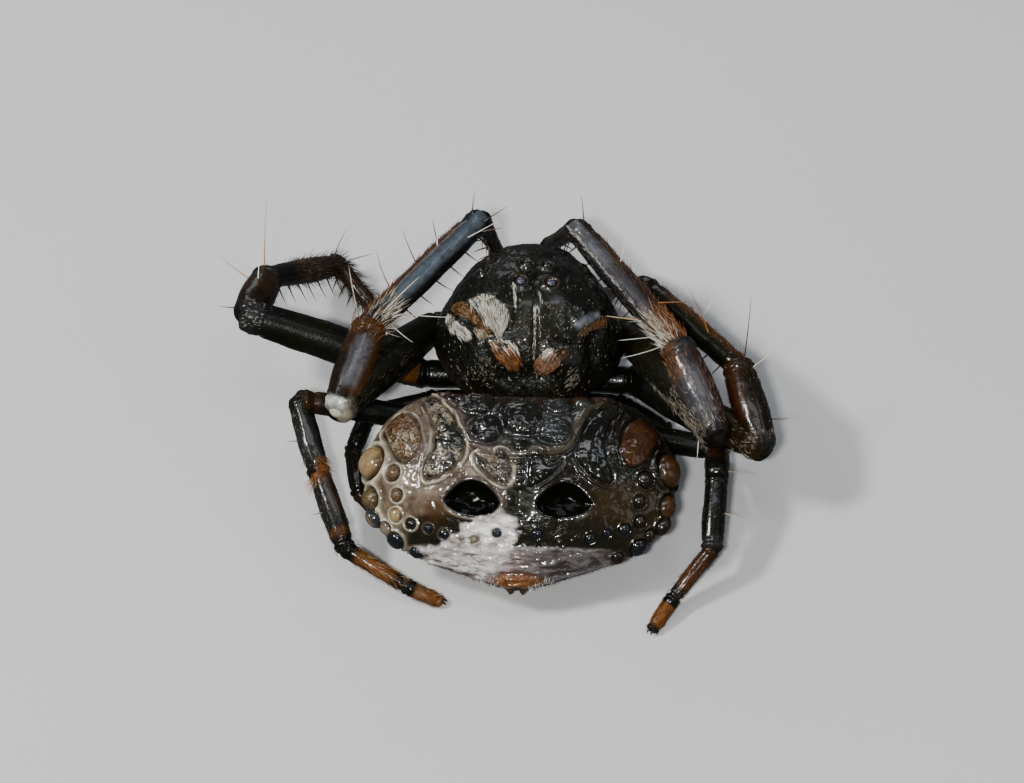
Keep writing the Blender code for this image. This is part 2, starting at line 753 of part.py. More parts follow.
def finish_part(items):
    """Scale to metres, shade, give a finish of its own and gather under one empty."""
    group = bpy.data.collections.new(PART)
    bpy.context.scene.collection.children.link(group)
    root = bpy.data.objects.new(PART, None)
    group.objects.link(root)
    move = Matrix.Scale(MM, 4) @ centre_on_floor(items)
    for item in items:
        item.data.transform(move @ item.matrix_world)
        item.matrix_world = Matrix.Identity(4)
        item.data.shade_smooth()
        item.data.set_sharp_from_angle(angle=math.radians(50))
        item.data.materials.clear()
        item.data.materials.append(make_material(finish_name(item.name)))
        bpy.context.scene.collection.objects.unlink(item)
        group.objects.link(item)
        item.parent = root


def main():
    clear_scene()
    carapace = make_carapace()
    abdomen = make_abdomen()
    carapace_cutter = swollen_copy(carapace, GAP)
    abdomen_cutter = swollen_copy(abdomen, GAP)
    sternum = make_sternum(new_object("trim", carapace_cutter.data.copy()))
    sternum_cutter = swollen_copy(sternum, GAP)
    items = [carapace, abdomen, sternum]
    draw = random.Random(SEED)
    for side_pair in JOINTS:
        items += make_leg(side_pair, (carapace_cutter, sternum_cutter), draw)
    for side_name, side in (("left", 1), ("right", -1)):
        items.append(make_chelicera(side_name, side, carapace_cutter))
        items.append(make_palp(side_name, side))
    items += make_eyes(carapace)
    bpy.data.objects.remove(sternum_cutter)
    items.append(make_spinnerets(new_object("trim", abdomen_cutter.data.copy())))
    items.append(make_pedicel([carapace_cutter, abdomen_cutter]))
    finish_part(items)


main()
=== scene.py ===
"""Looks of the bird-dropping spider: skins, beads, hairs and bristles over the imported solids.

Shapes are worked out in the body's own millimetres, with the head toward -Y, the back up
and x = 0 on the midline of the abdomen. to_frame() moves them into the frame's metres.
"""

import itertools
import math

import bpy
import numpy as np
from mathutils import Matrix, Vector


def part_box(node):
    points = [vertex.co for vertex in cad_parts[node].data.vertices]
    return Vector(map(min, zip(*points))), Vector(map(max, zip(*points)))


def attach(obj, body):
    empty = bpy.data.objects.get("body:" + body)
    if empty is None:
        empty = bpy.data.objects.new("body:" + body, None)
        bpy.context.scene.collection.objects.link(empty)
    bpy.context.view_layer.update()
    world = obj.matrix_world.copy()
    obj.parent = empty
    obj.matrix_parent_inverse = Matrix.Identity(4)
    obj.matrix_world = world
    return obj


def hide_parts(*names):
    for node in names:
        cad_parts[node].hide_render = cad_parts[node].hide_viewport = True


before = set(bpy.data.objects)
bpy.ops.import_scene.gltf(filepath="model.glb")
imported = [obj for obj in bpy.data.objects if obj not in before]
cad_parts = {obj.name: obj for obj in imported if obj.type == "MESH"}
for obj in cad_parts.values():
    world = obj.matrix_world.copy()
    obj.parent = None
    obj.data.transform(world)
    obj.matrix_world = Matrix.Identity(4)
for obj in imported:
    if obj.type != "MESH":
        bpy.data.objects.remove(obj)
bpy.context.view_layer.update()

# One millimetre in the frame's metres
MM = 0.001
UP = np.array((0.0, 0.0, 1.0))
ACROSS = np.array((1.0, 0.0, 0.0))
ALONG = np.array((0.0, 1.0, 0.0))
TURN = 2 * math.pi
SIDES = (("left", 1), ("right", -1))

# Rows of y, half width, top, rim and bottom, from the front of each body half to its rear
ABDOMEN_ROWS = (
    (0.05, 1.30, 2.90, 2.30, 1.70),
    (0.40, 2.80, 3.25, 2.20, 1.30),
    (1.30, 3.66, 3.52, 2.00, 0.78),
    (2.20, 3.86, 3.45, 1.85, 0.48),
    (3.10, 3.72, 3.12, 1.68, 0.42),
    (3.70, 3.34, 2.74, 1.50, 0.46),
    (4.20, 2.70, 2.25, 1.32, 0.55),
    (4.70, 1.25, 1.62, 1.10, 0.70),
    (5.00, 0.20, 1.15, 1.00, 0.90),
)
CARAPACE_ROWS = (
    (-4.05, 0.85, 3.30, 2.70, 2.25),
    (-3.80, 1.38, 3.66, 2.50, 1.92),
    (-3.00, 1.98, 4.10, 2.38, 1.72),
    (-1.90, 2.40, 4.30, 2.30, 1.70),
    (-1.20, 2.30, 4.15, 2.26, 1.70),
    (-0.50, 1.85, 3.65, 2.24, 1.72),
    (-0.05, 1.35, 3.08, 2.20, 1.76),
    (0.22, 0.80, 2.55, 2.14, 1.86),
)
# Notch in the abdomen's front, and how square the sides, the crown and the belly are
NOTCH_DEPTH = 0.45
NOTCH_HALF_WIDTH = 2.4
NOTCH_REACH = 1.3
SIDE_POWER = 0.83
CROWN_POWER = 1.2
BELLY_POWER = 1.8
# Midline of the head, and the tip of the tail
HEAD_SHIFT = -0.1
TAIL_Y = 5.0
# Skin grids: how far the dense back goes past the rim, points above and below, rings, bunching
ABDOMEN_GRID = (0.20, 336, 58, 252, 0.35)
CARAPACE_GRID = (0.15, 330, 42, 260, 0.50)
# Size and seed of the slow and the fine unevenness
ABDOMEN_MOTTLE = ((0.9, 3), (0.25, 4))
CARAPACE_MOTTLE = ((0.65, 13), (0.16, 14))
# Step along and round a body half when its outward directions are worked out
NORMAL_STEP = 0.01

# Colours, as linear red, green and blue
BLACK = (0.0035, 0.0038, 0.0022)
SPOT_BLACK = (0.0012, 0.0014, 0.0007)
SOOT = (0.0075, 0.0075, 0.0050)
OLIVE = (0.0075, 0.0070, 0.0022)
DARK_BROWN = (0.0120, 0.0064, 0.0026)
BROWN = (0.028, 0.013, 0.005)
TAN = (0.110, 0.070, 0.034)
AMBER = (0.075, 0.029, 0.007)
ORANGE = (0.180, 0.060, 0.008)
RUST = (0.038, 0.011, 0.003)
CREAM = (0.500, 0.450, 0.320)
SILVER = (0.140, 0.108, 0.076)
PALE = (0.330, 0.284, 0.210)
WHITE = (0.800, 0.780, 0.720)
LILAC = (0.048, 0.043, 0.050)
SLATE = (0.019, 0.020, 0.020)
TEAL = (0.019, 0.021, 0.020)
SHIELD_EDGE = (0.046, 0.037, 0.024)
BLUE_BLACK = (0.009, 0.013, 0.022)
INK = (0.006, 0.008, 0.011)
EYE_GLOW = (0.045, 0.040, 0.062)
PLATE_BROWN = (0.110, 0.054, 0.022)
EMBER = (0.048, 0.019, 0.004)
TAIL_ORANGE = (0.170, 0.060, 0.009)
FOLD_LILAC = (0.230, 0.178, 0.186)
FOLD_WHITE = (0.620, 0.600, 0.580)
# Grey of the folds' painted shade on the right
FOLD_SHADE_GREY = (0.036, 0.026, 0.027)
PINK_BROWN = (0.085, 0.060, 0.050)
SATIN = (0.300, 0.245, 0.165)
ROSE = (0.120, 0.068, 0.060)
# Colours of painted highlights and sheen: steel and pearl on the legs, blue on the carapace
STEEL_HIGHLIGHT = (0.085, 0.108, 0.132)
PEARL_HIGHLIGHT = (0.105, 0.108, 0.124)
BLUE_SHEEN = (0.125, 0.140, 0.160)
RIGHT_TAN = (0.027, 0.016, 0.005)
HONEY = (0.260, 0.178, 0.085)
GLOW_ORANGE = (0.380, 0.140, 0.025)


def smoothstep(low, high, value):
    """Smooth 0 to 1 as value goes from low to high."""
    share = np.clip((value - low) / (high - low), 0.0, 1.0)
    return share * share * (3.0 - 2.0 * share)


def hill(distance, width):
    """Smooth 1 at no distance, falling away over width."""
    return np.exp(-(distance / width) ** 2)


def unit(vectors):
    """Vectors at length one."""
    vectors = np.asarray(vectors, float)
    return vectors / np.maximum(np.linalg.norm(vectors, axis=-1, keepdims=True), 1e-12)


def signed_power(value, power):
    """Power of a number that keeps its sign."""
    return np.sign(value) * np.abs(value) ** power


def blend(first, second, share):
    """Mix of two colours, with the second's share."""
    return np.array(first) * (1 - share) + np.array(second) * share


def eased_steps(count, bunching):
    """Steps from 0 to 1 that bunch up toward both ends."""
    steps = np.linspace(0, 1, count)
    return bunching * (0.5 - 0.5 * np.cos(math.pi * steps)) + (1.0 - bunching) * steps


def lattice(cells, seed):
    """Steady random number from -1 to 1 for each whole-number cell."""
    k = cells.astype(np.int64)
    mixed = k[..., 0] * 73856093 ^ k[..., 1] * 19349663 ^ k[..., 2] * 83492791 ^ seed * 2654435761
    mixed = (mixed ^ (mixed >> 13)) * 1274126177
    mixed = mixed ^ (mixed >> 16)
    return (mixed & 0xFFFF) / 32767.5 - 1.0


def noise(points, size, seed=0):
    """Smooth random field from -1 to 1 whose lumps are about size across."""
    spots = points / size
    base = np.floor(spots)
    near = spots - base
    near = near * near * (3.0 - 2.0 * near)
    total = np.zeros(points.shape[:-1])
    for corner in itertools.product((0, 1), repeat=3):
        weights = np.where(np.array(corner) == 1, near, 1.0 - near).prod(-1)
        total += weights * lattice(base + corner, seed)
    return total


def fractal(points, size, seed=0, octaves=3):
    """Noise at several sizes, each half the last."""
    layers = [noise(points, size / 2 ** k, seed + k) / 2 ** k for k in range(octaves)]
    return sum(layers) / 1.6


def blend_rows(rows, place):
    """Read the sizes at one place along rows, on a smooth curve through them."""
    last = len(rows) - 1
    if place <= rows[0][0]:
        return rows[0][1:]
    if place >= rows[last][0]:
        return rows[last][1:]
    index = max(i for i in range(last) if rows[i][0] <= place)
    low, high = rows[index], rows[index + 1]
    before, after = rows[max(index - 1, 0)], rows[min(index + 2, last)]
    span = high[0] - low[0]
    share = (place - low[0]) / span
    square, cube = share ** 2, share ** 3
    sizes = []
    for k in range(1, len(low)):
        slope_in = (high[k] - before[k]) / (high[0] - before[0]) * span
        slope_out = (after[k] - low[k]) / (after[0] - low[0]) * span
        sizes.append(
            low[k] * (2 * cube - 3 * square + 1) + slope_in * (cube - 2 * square + share)
            + high[k] * (3 * square - 2 * cube) + slope_out * (cube - square)
        )
    return sizes


def body_points(rows, places, angles, shift=0.0, notch=0.0):
    """Points of a body half, for pairs of a place and an angle up from its left rim, or for a grid."""
    places = np.asarray(places, float)
    angles = np.asarray(angles, float)
    sizes = np.array([blend_rows(rows, place) for place in places])
    if angles.ndim > places.ndim:
        places, sizes = places[:, None], sizes[:, None]
    half, top, rim, bottom = np.moveaxis(sizes, -1, 0)
    x = half * signed_power(np.cos(angles), SIDE_POWER)
    rise = np.sin(angles)
    upper = rim + (top - rim) * np.abs(rise) ** CROWN_POWER
    lower = rim - (rim - bottom) * np.abs(rise) ** BELLY_POWER
    middle = np.maximum(0.0, 1.0 - (x / NOTCH_HALF_WIDTH) ** 2)
    front = np.maximum(0.0, 1.0 - places / NOTCH_REACH) if notch else 0.0
    return np.stack((x + shift, places + notch * middle * front, np.where(rise >= 0, upper, lower)), -1)


def abdomen_points(places, angles):
    """Points of the abdomen before its relief."""
    return body_points(ABDOMEN_ROWS, places, angles, 0.0, NOTCH_DEPTH)


def carapace_points(places, angles):
    """Points of the head and thorax before their relief."""
    return body_points(CARAPACE_ROWS, places, angles, HEAD_SHIFT)


def body_grid(points_on, rows, overlap, above, below, rings, bunching):
    """Grid over a body half, dense over the back and sparse under the belly."""
    upper = np.linspace(-overlap, math.pi + overlap, above)
    lower = np.linspace(math.pi + overlap, TURN - overlap, below)[1:-1]
    first, last = rows[0][0], rows[-1][0]
    places = first + (last - first) * eased_steps(rings, bunching)
    return points_on(places, np.concatenate((upper, lower))[None, :])


def normals_at(points_on, places, angles):
    """Outward directions of a body half at pairs of a place and an angle."""
    along = points_on(places + NORMAL_STEP, angles) - points_on(places - NORMAL_STEP, angles)
    around = points_on(places, angles + NORMAL_STEP) - points_on(places, angles - NORMAL_STEP)
    return unit(np.cross(along, around))


def angle_over(rows, place, x):
    """Angle up from the left rim where a surface passes over x."""
    share = np.clip(x / blend_rows(rows, place)[0], -1.0, 1.0)
    return math.acos(signed_power(share, 1.0 / SIDE_POWER))


def grid_normals(points):
    """Outward directions over a grid of rings."""
    along = np.gradient(points, axis=0)
    around = np.roll(points, -1, axis=1) - np.roll(points, 1, axis=1)
    return unit(np.cross(along, around))


def ball_points(way, helper, polar, sides):
    """Ball of radius one, as rings at angles from its pole; helper sets where each ring starts."""
    polar = polar[:, None]
    around = np.arange(sides) * TURN / sides
    first = unit(np.cross(way, helper))
    second = np.cross(way, first)
    return (np.cos(polar)[..., None] * way
            + (np.sin(polar) * np.cos(around))[..., None] * first
            + (np.sin(polar) * np.sin(around))[..., None] * second)


def curve_point(a, b, c, d, share):
    """Points between b and c on a smooth curve past a, b, c and d."""
    return 0.5 * (2 * b + (c - a) * share + (2 * a - 5 * b + 4 * c - d) * share ** 2
                  + (3 * b - a - 3 * c + d) * share ** 3)


def smooth_loop(corners, steps):
    """Closed smooth curve through corners."""
    corners = np.asarray(corners, float)
    around = [np.roll(corners, shift, 0) for shift in (1, 0, -1, -2)]
    pieces = [curve_point(*around, share) for share in np.arange(steps) / steps]
    return np.stack(pieces, 1).reshape(-1, corners.shape[1])


def smooth_path(corners, count):
    """Open smooth curve through corners, at even steps between them."""
    corners = np.asarray(corners, float)
    padded = np.vstack((2 * corners[0] - corners[1], corners, 2 * corners[-1] - corners[-2]))
    stops = np.linspace(0, len(corners) - 1, count)
    index = np.minimum(stops.astype(int), len(corners) - 2)
    return curve_point(*(padded[index + k] for k in range(4)), (stops - index).reshape(-1, 1))


def inside_distance(x, y, outline):
    """Distance inside a smooth closed outline, negative outside it."""
    corners = smooth_loop(outline, 6)
    best = np.full(x.shape, 9.0)
    inside = np.zeros(x.shape, bool)
    for (x0, y0), (x1, y1) in zip(corners, np.roll(corners, -1, 0)):
        dx, dy = x1 - x0, y1 - y0
        share = np.clip(((x - x0) * dx + (y - y0) * dy) / (dx * dx + dy * dy + 1e-12), 0, 1)
        best = np.minimum(best, np.hypot(x - x0 - share * dx, y - y0 - share * dy))
        level = (y0 > y) != (y1 > y)
        inside ^= level & (x < dx * (y - y0) / (dy if dy else 1e-12) + x0)
    return np.where(inside, best, -best)


# Rise of a normal where a skin starts to count as facing up and where it is full
FACING_UP = (-0.1, 0.25)
# Random fields read on the skins: size of a lump, seed and, where it isn't usual, number of layers
FIELDS = {
    "plate_edge": (0.30, 27), "plate_wave": (0.30, 25), "plate_tone": (0.32, 31),
    "plate_lumps": (0.11, 21), "plate_veins": (0.17, 35), "plate_pits": (0.07, 33),
    "blotches_and_glints": (0.38, 91), "blush": (0.13, 7), "brown_veins": (0.30, 93), "skin_grain": (0.09, 5),
    "tubercle_lumps": (0.20, 51), "tubercle_edge": (0.22, 41),
    "crease": (0.34, 61, 4), "fold_grain": (0.16, 71), "fold_veins": (0.22, 73),
    "patch_edge": (0.20, 83), "patch_highlights": (0.30, 87), "patch_grain": (0.09, 89),
    "furrow": (0.20, 85), "bead_wave": (0.26, 29), "shell_gloss": (0.10, 15),
}


class Skin:
    """Points of a skin, with the colour, roughness, grain and lift at each."""

    def __init__(self, points, normals, colour, rough, grain):
        count = len(points)
        self.points, self.normals = points, normals
        self.x, self.y, self.z = points.T
        self.up = smoothstep(*FACING_UP, normals[:, 2])
        self.colour = np.tile(np.array(colour, float), (count, 1))
        self.rough = np.full(count, float(rough))
        self.grain = np.full(count, float(grain))
        self.height = np.zeros(count)

    def paint(self, mask, colour=None, rough=None, grain=None):
        """Blend toward a colour, roughness and grain where mask is up."""
        mask = np.clip(mask, 0.0, 1.0)
        if colour is not None:
            self.colour += mask[:, None] * (np.array(colour) - self.colour)
        if rough is not None:
            self.rough += mask * (rough - self.rough)
        if grain is not None:
            self.grain += mask * (grain - self.grain)

    def mottle(self, wide, fine):
        """Read a slow and a fine unevenness, each from its size and seed."""
        self.wide = fractal(self.points, *wide)
        self.fine = fractal(self.points, *fine)

    def lumps(self, name):
        """Field with ever finer lumps, at each point."""
        return fractal(self.points, *FIELDS[name])

    def waves(self, name):
        """Field of soft lumps of one size, at each point."""
        return noise(self.points, *FIELDS[name])

    def raised(self):
        """Points moved out by their lift."""
        return self.points + self.normals * self.height[:, None]


class Shape:
    """Points and faces gathered from many parts, with what the finish reads at each point."""

    def __init__(self):
        self.points, self.colours, self.roughs, self.grains, self.uvs = [], [], [], [], []
        self.quads, self.triangles = [], []
        self.count = 0

    def add(self, points, colour, rough, grain, quads=None, triangles=None, uvs=None):
        """Take in one part, with a colour, roughness and grain for all of it or for each point."""
        number = len(points)
        self.points.append(points)
        self.colours.append(np.broadcast_to(np.asarray(colour, float), (number, 3)))
        self.roughs.append(np.broadcast_to(np.asarray(rough, float), (number,)))
        self.grains.append(np.broadcast_to(np.asarray(grain, float), (number,)))
        self.uvs.append(np.zeros((number, 2)) if uvs is None else uvs)
        if quads is not None:
            self.quads.append(np.asarray(quads).reshape(-1, 4) + self.count)
        if triangles is not None:
            self.triangles.append(np.asarray(triangles).reshape(-1, 3) + self.count)
        self.count += number

    def make_mesh(self, name, coat):
        """Mesh in the frame's metres, with its painted layers and, for a coat, its map."""
        quads = np.vstack(self.quads) if self.quads else np.zeros((0, 4), int)
        triangles = np.vstack(self.triangles) if self.triangles else np.zeros((0, 3), int)
        mesh = bpy.data.meshes.new(name)
        points = to_frame(np.vstack(self.points))
        corners = np.concatenate((quads.ravel(), triangles.ravel()))
        starts = np.concatenate((
            np.arange(len(quads)) * 4,
            len(quads) * 4 + np.arange(len(triangles)) * 3,
        ))
        mesh.vertices.add(len(points))
        mesh.vertices.foreach_set("co", points.ravel())
        mesh.loops.add(len(corners))
        mesh.loops.foreach_set("vertex_index", corners)
        mesh.polygons.add(len(starts))
        mesh.polygons.foreach_set("loop_start", starts)
        mesh.update(calc_edges=True)
        mesh.shade_smooth()
        colours = np.vstack(self.colours)
        rows = (
            ("tint", "FLOAT_COLOR", "color", np.hstack((colours, np.ones((len(colours), 1))))),
            ("rough", "FLOAT", "value", np.concatenate(self.roughs)),
            ("grain", "FLOAT", "value", np.concatenate(self.grains)),
        )
        for label, kind, field, values in rows:
            layer = mesh.attributes.new(label, kind, "POINT")
            layer.data.foreach_set(field, values.astype(np.float32).ravel())
        if coat:
            layer = mesh.uv_layers.new(name="OFBake")
            layer.uv.foreach_set("vector", np.vstack(self.uvs)[corners].astype(np.float32).ravel())
        return mesh

    def build(self, name, material, slot, nodes=(), coat=False):
        """Make the object and let it ride on the body."""
        mesh = self.make_mesh(name, coat)
        mesh.materials.append(material)
        mesh.validate()
        item = bpy.data.objects.new(name, mesh)
        bpy.context.scene.collection.objects.link(item)
        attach(item, "root")
        if nodes:
            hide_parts(*nodes)
        return item


def find_origin():
    """Where the body's own origin lies in the frame."""
    low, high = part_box("abdomen")
    return np.array(((low.x + high.x) / 2, high.y - TAIL_Y * MM, 0.0))


ORIGIN = find_origin()


def to_frame(points):
    """Millimetres of the body to metres of the frame."""
    return np.asarray(points, float) * MM + ORIGIN


def tube_quads(rings, sides):
    """Faces between rings of points, row after row."""
    near = np.arange(rings - 1).reshape(-1, 1) * sides
    this = np.arange(sides)
    following = (this + 1) % sides
    return np.stack((near + this, near + following, near + following + sides, near + this + sides),
                    -1).reshape(-1, 4)


def cap_triangles(ring_start, sides, hub, flip):
    """Faces from one ring to a hub point."""
    this = ring_start + np.arange(sides)
    following = ring_start + (np.arange(sides) + 1) % sides
    fan = np.stack((this, following, np.full(sides, hub)), -1)
    return fan[:, ::-1] if flip else fan


def add_tube(shape, rings, colour, rough, grain, uvs=None):
    """Closed skin over rings of points; colours and the rest are for each ring point."""
    count, sides = rings.shape[:2]
    points = np.vstack((rings.reshape(-1, 3), rings[0].mean(0), rings[-1].mean(0)))
    hubs = count * sides, count * sides + 1
    triangles = np.vstack((
        cap_triangles(0, sides, hubs[0], True),
        cap_triangles((count - 1) * sides, sides, hubs[1], False),
    ))

    def with_hubs(values):
        """Values for the two hubs too, where each point has its own."""
        values = np.asarray(values, float)
        if values.ndim == 0 or len(values) != count * sides:
            return values
        return np.concatenate((values, values[:1], values[-1:]))

    uvs = None if uvs is None else np.vstack((uvs, uvs[:1], uvs[-1:]))
    shape.add(points, with_hubs(colour), with_hubs(rough), with_hubs(grain),
              tube_quads(count, sides), triangles, uvs)


# Share of straight up beyond which a direction needs another helper than UP
STEEP = 0.9


def path_frames(path):
    """Side directions along a path that turn as little as they can."""
    forward = unit(np.gradient(path, axis=0))
    seed = UP if abs(forward[0] @ UP) < STEEP else ACROSS
    sides = [unit(seed - forward[0] * (seed @ forward[0]))]
    for way in forward[1:]:
        sides.append(unit(sides[-1] - way * (sides[-1] @ way)))
    sides = np.array(sides)
    return sides, np.cross(forward, sides)


def rod_rings(path, radii, sides):
    """Rings of a rod along a path."""
    first, second = path_frames(path)
    angles = np.arange(sides) * TURN / sides
    spread = (np.cos(angles)[None, :, None] * first[:, None, :]
              + np.sin(angles)[None, :, None] * second[:, None, :])
    return path[:, None, :] + spread * np.asarray(radii)[:, None, None]


def rod(shape, corners, radii, colour, rough, grain, sides, count):
    """Smooth rod through corners, with a radius at each."""
    path = smooth_path(corners, count)
    sizes = np.interp(np.linspace(0, 1, count), np.linspace(0, 1, len(radii)), radii)
    add_tube(shape, rod_rings(path, sizes, sides), colour, rough, grain)


# Outlines on the left half of the back, as x and distance along the body
LONG_PLATE = (
    (2.28, 0.62), (1.84, 1.24), (1.54, 1.82), (1.36, 2.34), (1.42, 2.72), (1.86, 3.05),
    (2.24, 3.12), (2.34, 2.86), (2.18, 2.46), (2.14, 2.00), (2.26, 1.50), (2.44, 0.90),
)
SIDE_PLATE = (
    (2.96, 1.02), (2.62, 1.38), (2.46, 1.90), (2.46, 2.34), (2.70, 2.58), (2.98, 2.48),
    (3.24, 2.04), (3.40, 1.44),
)
NOTCHED_PLATE = (
    (1.08, 2.60), (0.88, 2.74), (0.66, 2.78), (0.52, 2.50), (0.30, 2.55), (0.18, 2.98),
    (0.27, 3.34), (0.64, 3.20), (1.00, 2.90),
)
EYESPOT = (
    (1.78, 3.48), (1.42, 3.24), (1.05, 3.20), (0.70, 3.38), (0.45, 3.66), (0.58, 3.86),
    (1.06, 3.92), (1.54, 3.82), (1.82, 3.62),
)
SHIELD_HALF = ((2.06, 0.40), (1.66, 1.20), (1.40, 1.95), (1.06, 2.44), (0.42, 2.56))
# Small pit behind the long plate: x and distance along, depth, width
TRIANGLE_PIT = (1.38, 3.04)
PIT_DEPTH, PIT_WIDTH = 0.05, 0.06
WHITE_PATCH = (
    (1.22, 4.02), (1.00, 3.95), (0.58, 3.90), (0.12, 3.90), (0.03, 4.10), (0.05, 4.46),
    (0.34, 4.56), (1.00, 4.52), (1.70, 4.44), (2.10, 4.35), (1.55, 4.26),
)
# Plates: outline, height, roughness, then the dark, light and welt tones on the left and the right, the
# right's darker as painted shade
PLATES = (
    (LONG_PLATE, 0.10, 0.15, (SOOT, SATIN, CREAM), (BLACK, OLIVE, DARK_BROWN)),
    (SIDE_PLATE, 0.13, 0.15, (PLATE_BROWN, SATIN, CREAM), (RUST, EMBER, DARK_BROWN)),
    (NOTCHED_PLATE, 0.08, 0.12, (BLACK, SILVER, CREAM), (BLACK, OLIVE, OLIVE)),
)
# How rugged the plates are on each side, and how far their edges wander
LEFT_RUGGED, RIGHT_RUGGED = 1.0, 0.3
EDGE_WANDER = 0.030
# Relief of a plate: its grains, its groove, the welt and the groove beyond, and how far out these two lie
PLATE_GRAIN, PLATE_GROOVE, WELT_LIFT, OUTER_GROOVE = 0.04, 0.050, 0.042, 0.020
WELT_OUT, OUTER_OUT = 0.065, 0.125
# Widths of a plate's lines, in relief and in paint, and of the groove beyond the welt
RELIEF_LINE, PAINT_LINE, OUTER_LINE = 0.026, 0.024, 0.020
PLATE_EDGE, PLATE_RISE = (0.01, 0.08), (0.0, 0.35)
# Arcs between the long plate and the side plate: x at the first, its sway, how far apart, half width
ARC_X, ARC_SWAY, ARC_STEPS, ARC_WIDTH = 2.36, 0.10, (0.0, 0.12), 0.035
# Front rim at the midline; edge of the folds at the midline, its bend, and how the folds are stretched
FRONT_RIM = 0.42
FOLD_EDGE, FOLD_BEND = 4.44, 0.033
FOLD_STRETCH = (0.34, 2.6, 1.8)
# Where each starts and is full: painted shade of the right half, its tan flank, dark band, tail, fades of the
# white patch, furrow between the eyespots, and the lip behind and the shade before an eyespot
RIGHT_SHADE_EDGE = (0.12, -0.05)
FLANK_X, FLANK_Y = (-1.6, -2.3), (2.6, 3.2)
DARK_BAND_X, DARK_BAND_Y = (3.0, 2.6), (3.70, 3.86)
TAIL_X, TAIL_Y_RANGE = (0.95, 0.45), (4.80, 4.90)
PATCH_REAR, PATCH_SIDE = (4.36, 4.60), (0.95, 1.50)
FURROW_X, FURROW_FRONT, FURROW_REAR = -0.06, (3.25, 3.45), (4.0, 3.85)
LIP_BEHIND, SHADE_BEFORE, RIGHT_LIP_END = (3.66, 3.86), (3.62, 3.40), (1.25, 1.7)
# Glowing patches outside the eyespots: x, distance along, two radii, strength, colour, roughness
GLOWS = (
    (2.02, 3.68, 0.52, 0.29, 0.95, EMBER, None),
    (-2.20, 3.62, 0.60, 0.30, 0.90, RIGHT_TAN, 0.2),
)
# Depth of an eyespot's bowl, how far in it gets there, its lips, and how far its glossy inlay is lifted
EYESPOT_DEPTH = 0.19
EYESPOT_REACH = 0.33
LEFT_LIP, RIGHT_LIP, LIP_OUT = 0.016, 0.005, 0.05
INLAY_LIFT = 0.004

# Tubercles on the middle of the back: x, distance along, radius along x, radius along y, height
TUBERCLES = (
    (0.00, 1.48, 0.47, 0.56, 0.17),
    (1.12, 1.02, 0.46, 0.38, 0.13), (-0.90, 1.04, 0.36, 0.34, 0.13), (-1.52, 0.72, 0.26, 0.22, 0.08),
    (1.66, 0.72, 0.22, 0.20, 0.07), (0.86, 1.90, 0.41, 0.38, 0.14), (-0.83, 1.90, 0.38, 0.36, 0.14),
    (0.00, 2.36, 0.21, 0.17, 0.10), (0.02, 2.78, 0.16, 0.09, 0.06), (-0.30, 2.80, 0.12, 0.09, 0.05),
    (-0.02, 3.15, 0.10, 0.12, 0.05), (0.17, 3.63, 0.10, 0.11, 0.06), (0.00, 3.88, 0.09, 0.08, 0.05),
)
# How square a tubercle is, from 2 for an oval
TUBERCLE_POWER = 2.8

# Beads along the rim: distance along, angle up from the rim in degrees, radius, two finishes, the right one
# mostly darker as painted shade
RIM_BEADS = (
    (2.20, 20.0, 0.43, "honey", "ember"),
    (3.05, 12.0, 0.30, "pebble", "ember"),
    (3.40, -4.0, 0.28, "pearl", "ember"),
    (3.74, 10.0, 0.19, "pearl", "mud"),
    (4.00, 8.0, 0.24, "ink", "ink"),
    (4.28, 10.0, 0.18, "ink", "mud"),
)
# Beads on the back: x, distance along, radius, finish on the left, finish on the right, mostly darker as
# painted shade
BACK_BEADS = (
    (3.12, 2.75, 0.21, "pebble", "mud"),
    (3.00, 3.27, 0.17, "pebble", "mud"),
    (3.02, 3.64, 0.17, "honey", "mud"),
    (2.64, 3.88, 0.15, "mud", "ink"),
    (2.20, 4.04, 0.12, "ink", "ink"),
    (1.80, 4.18, 0.13, "ink", "ink"),
    (1.05, 4.32, 0.12, "pearl", "mud"),
    (0.50, 4.22, 0.13, "ink", "ink"),
    (1.36, 4.26, 0.07, "pearl", "mud"),
)
# Finish of a bead: colour at its foot, colour at its crown, roughness, grain
BEAD_FINISHES = {
    "honey": (BROWN, HONEY, 0.15, 0.30),
    "ember": (OLIVE, EMBER, 0.24, 0.40),
    "pearl": (SLATE, SILVER, 0.11, 0.05),
    "ink": (BLACK, INK, 0.06, 0.0),
    "mud": (BLACK, DARK_BROWN, 0.18, 0.4),
    "pebble": (DARK_BROWN, TAN, 0.18, 0.9),
}
# How deep a bead sits, how flat and how uneven it is, and its mesh
BEAD_SINK = 0.15
BEAD_FLATTEN = 0.22
BEAD_UNEVEN = 0.13
BEAD_SIDES = 32
BEAD_POLAR = np.linspace(0.02, 0.72, 20) * math.pi
BEAD_SEED = 5
# Welt and groove round a bead's foot, in its radii: how far out, width, height
BEAD_WELT, BEAD_GROOVE = (1.20, 0.17, 0.18), (0.98, 0.10, 0.14)
BEAD_REACH = 2.2


def bead_rows():
    """Every bead on the abdomen: centre, outward direction, radius and finish."""
    rows = []
    for place, degrees, radius, left, right in RIM_BEADS:
        angle = math.radians(degrees)
        rows += [(place, angle, radius, left), (place, math.pi - angle, radius, right)]
    for x, place, radius, left, right in BACK_BEADS:
        for side, finish in ((1, left), (-1, right)):
            rows.append((place, angle_over(ABDOMEN_ROWS, place, side * x), radius, finish))
    places, angles, radii, finishes = zip(*rows)
    places, angles = np.array(places), np.array(angles)
    ways = normals_at(abdomen_points, places, angles)
    return list(zip(abdomen_points(places, angles), ways, radii, finishes))


def mirrored(outline, side):
    """Outline on the left (side 1) or mirrored to the right (side -1)."""
    return [(x * side, y) for x, y in outline]


def oval_distance(x, y, cx, cy, rx, ry):
    """Distance from a centre, 1 on an oval round it."""
    return np.hypot((x - cx) / rx, (y - cy) / ry)


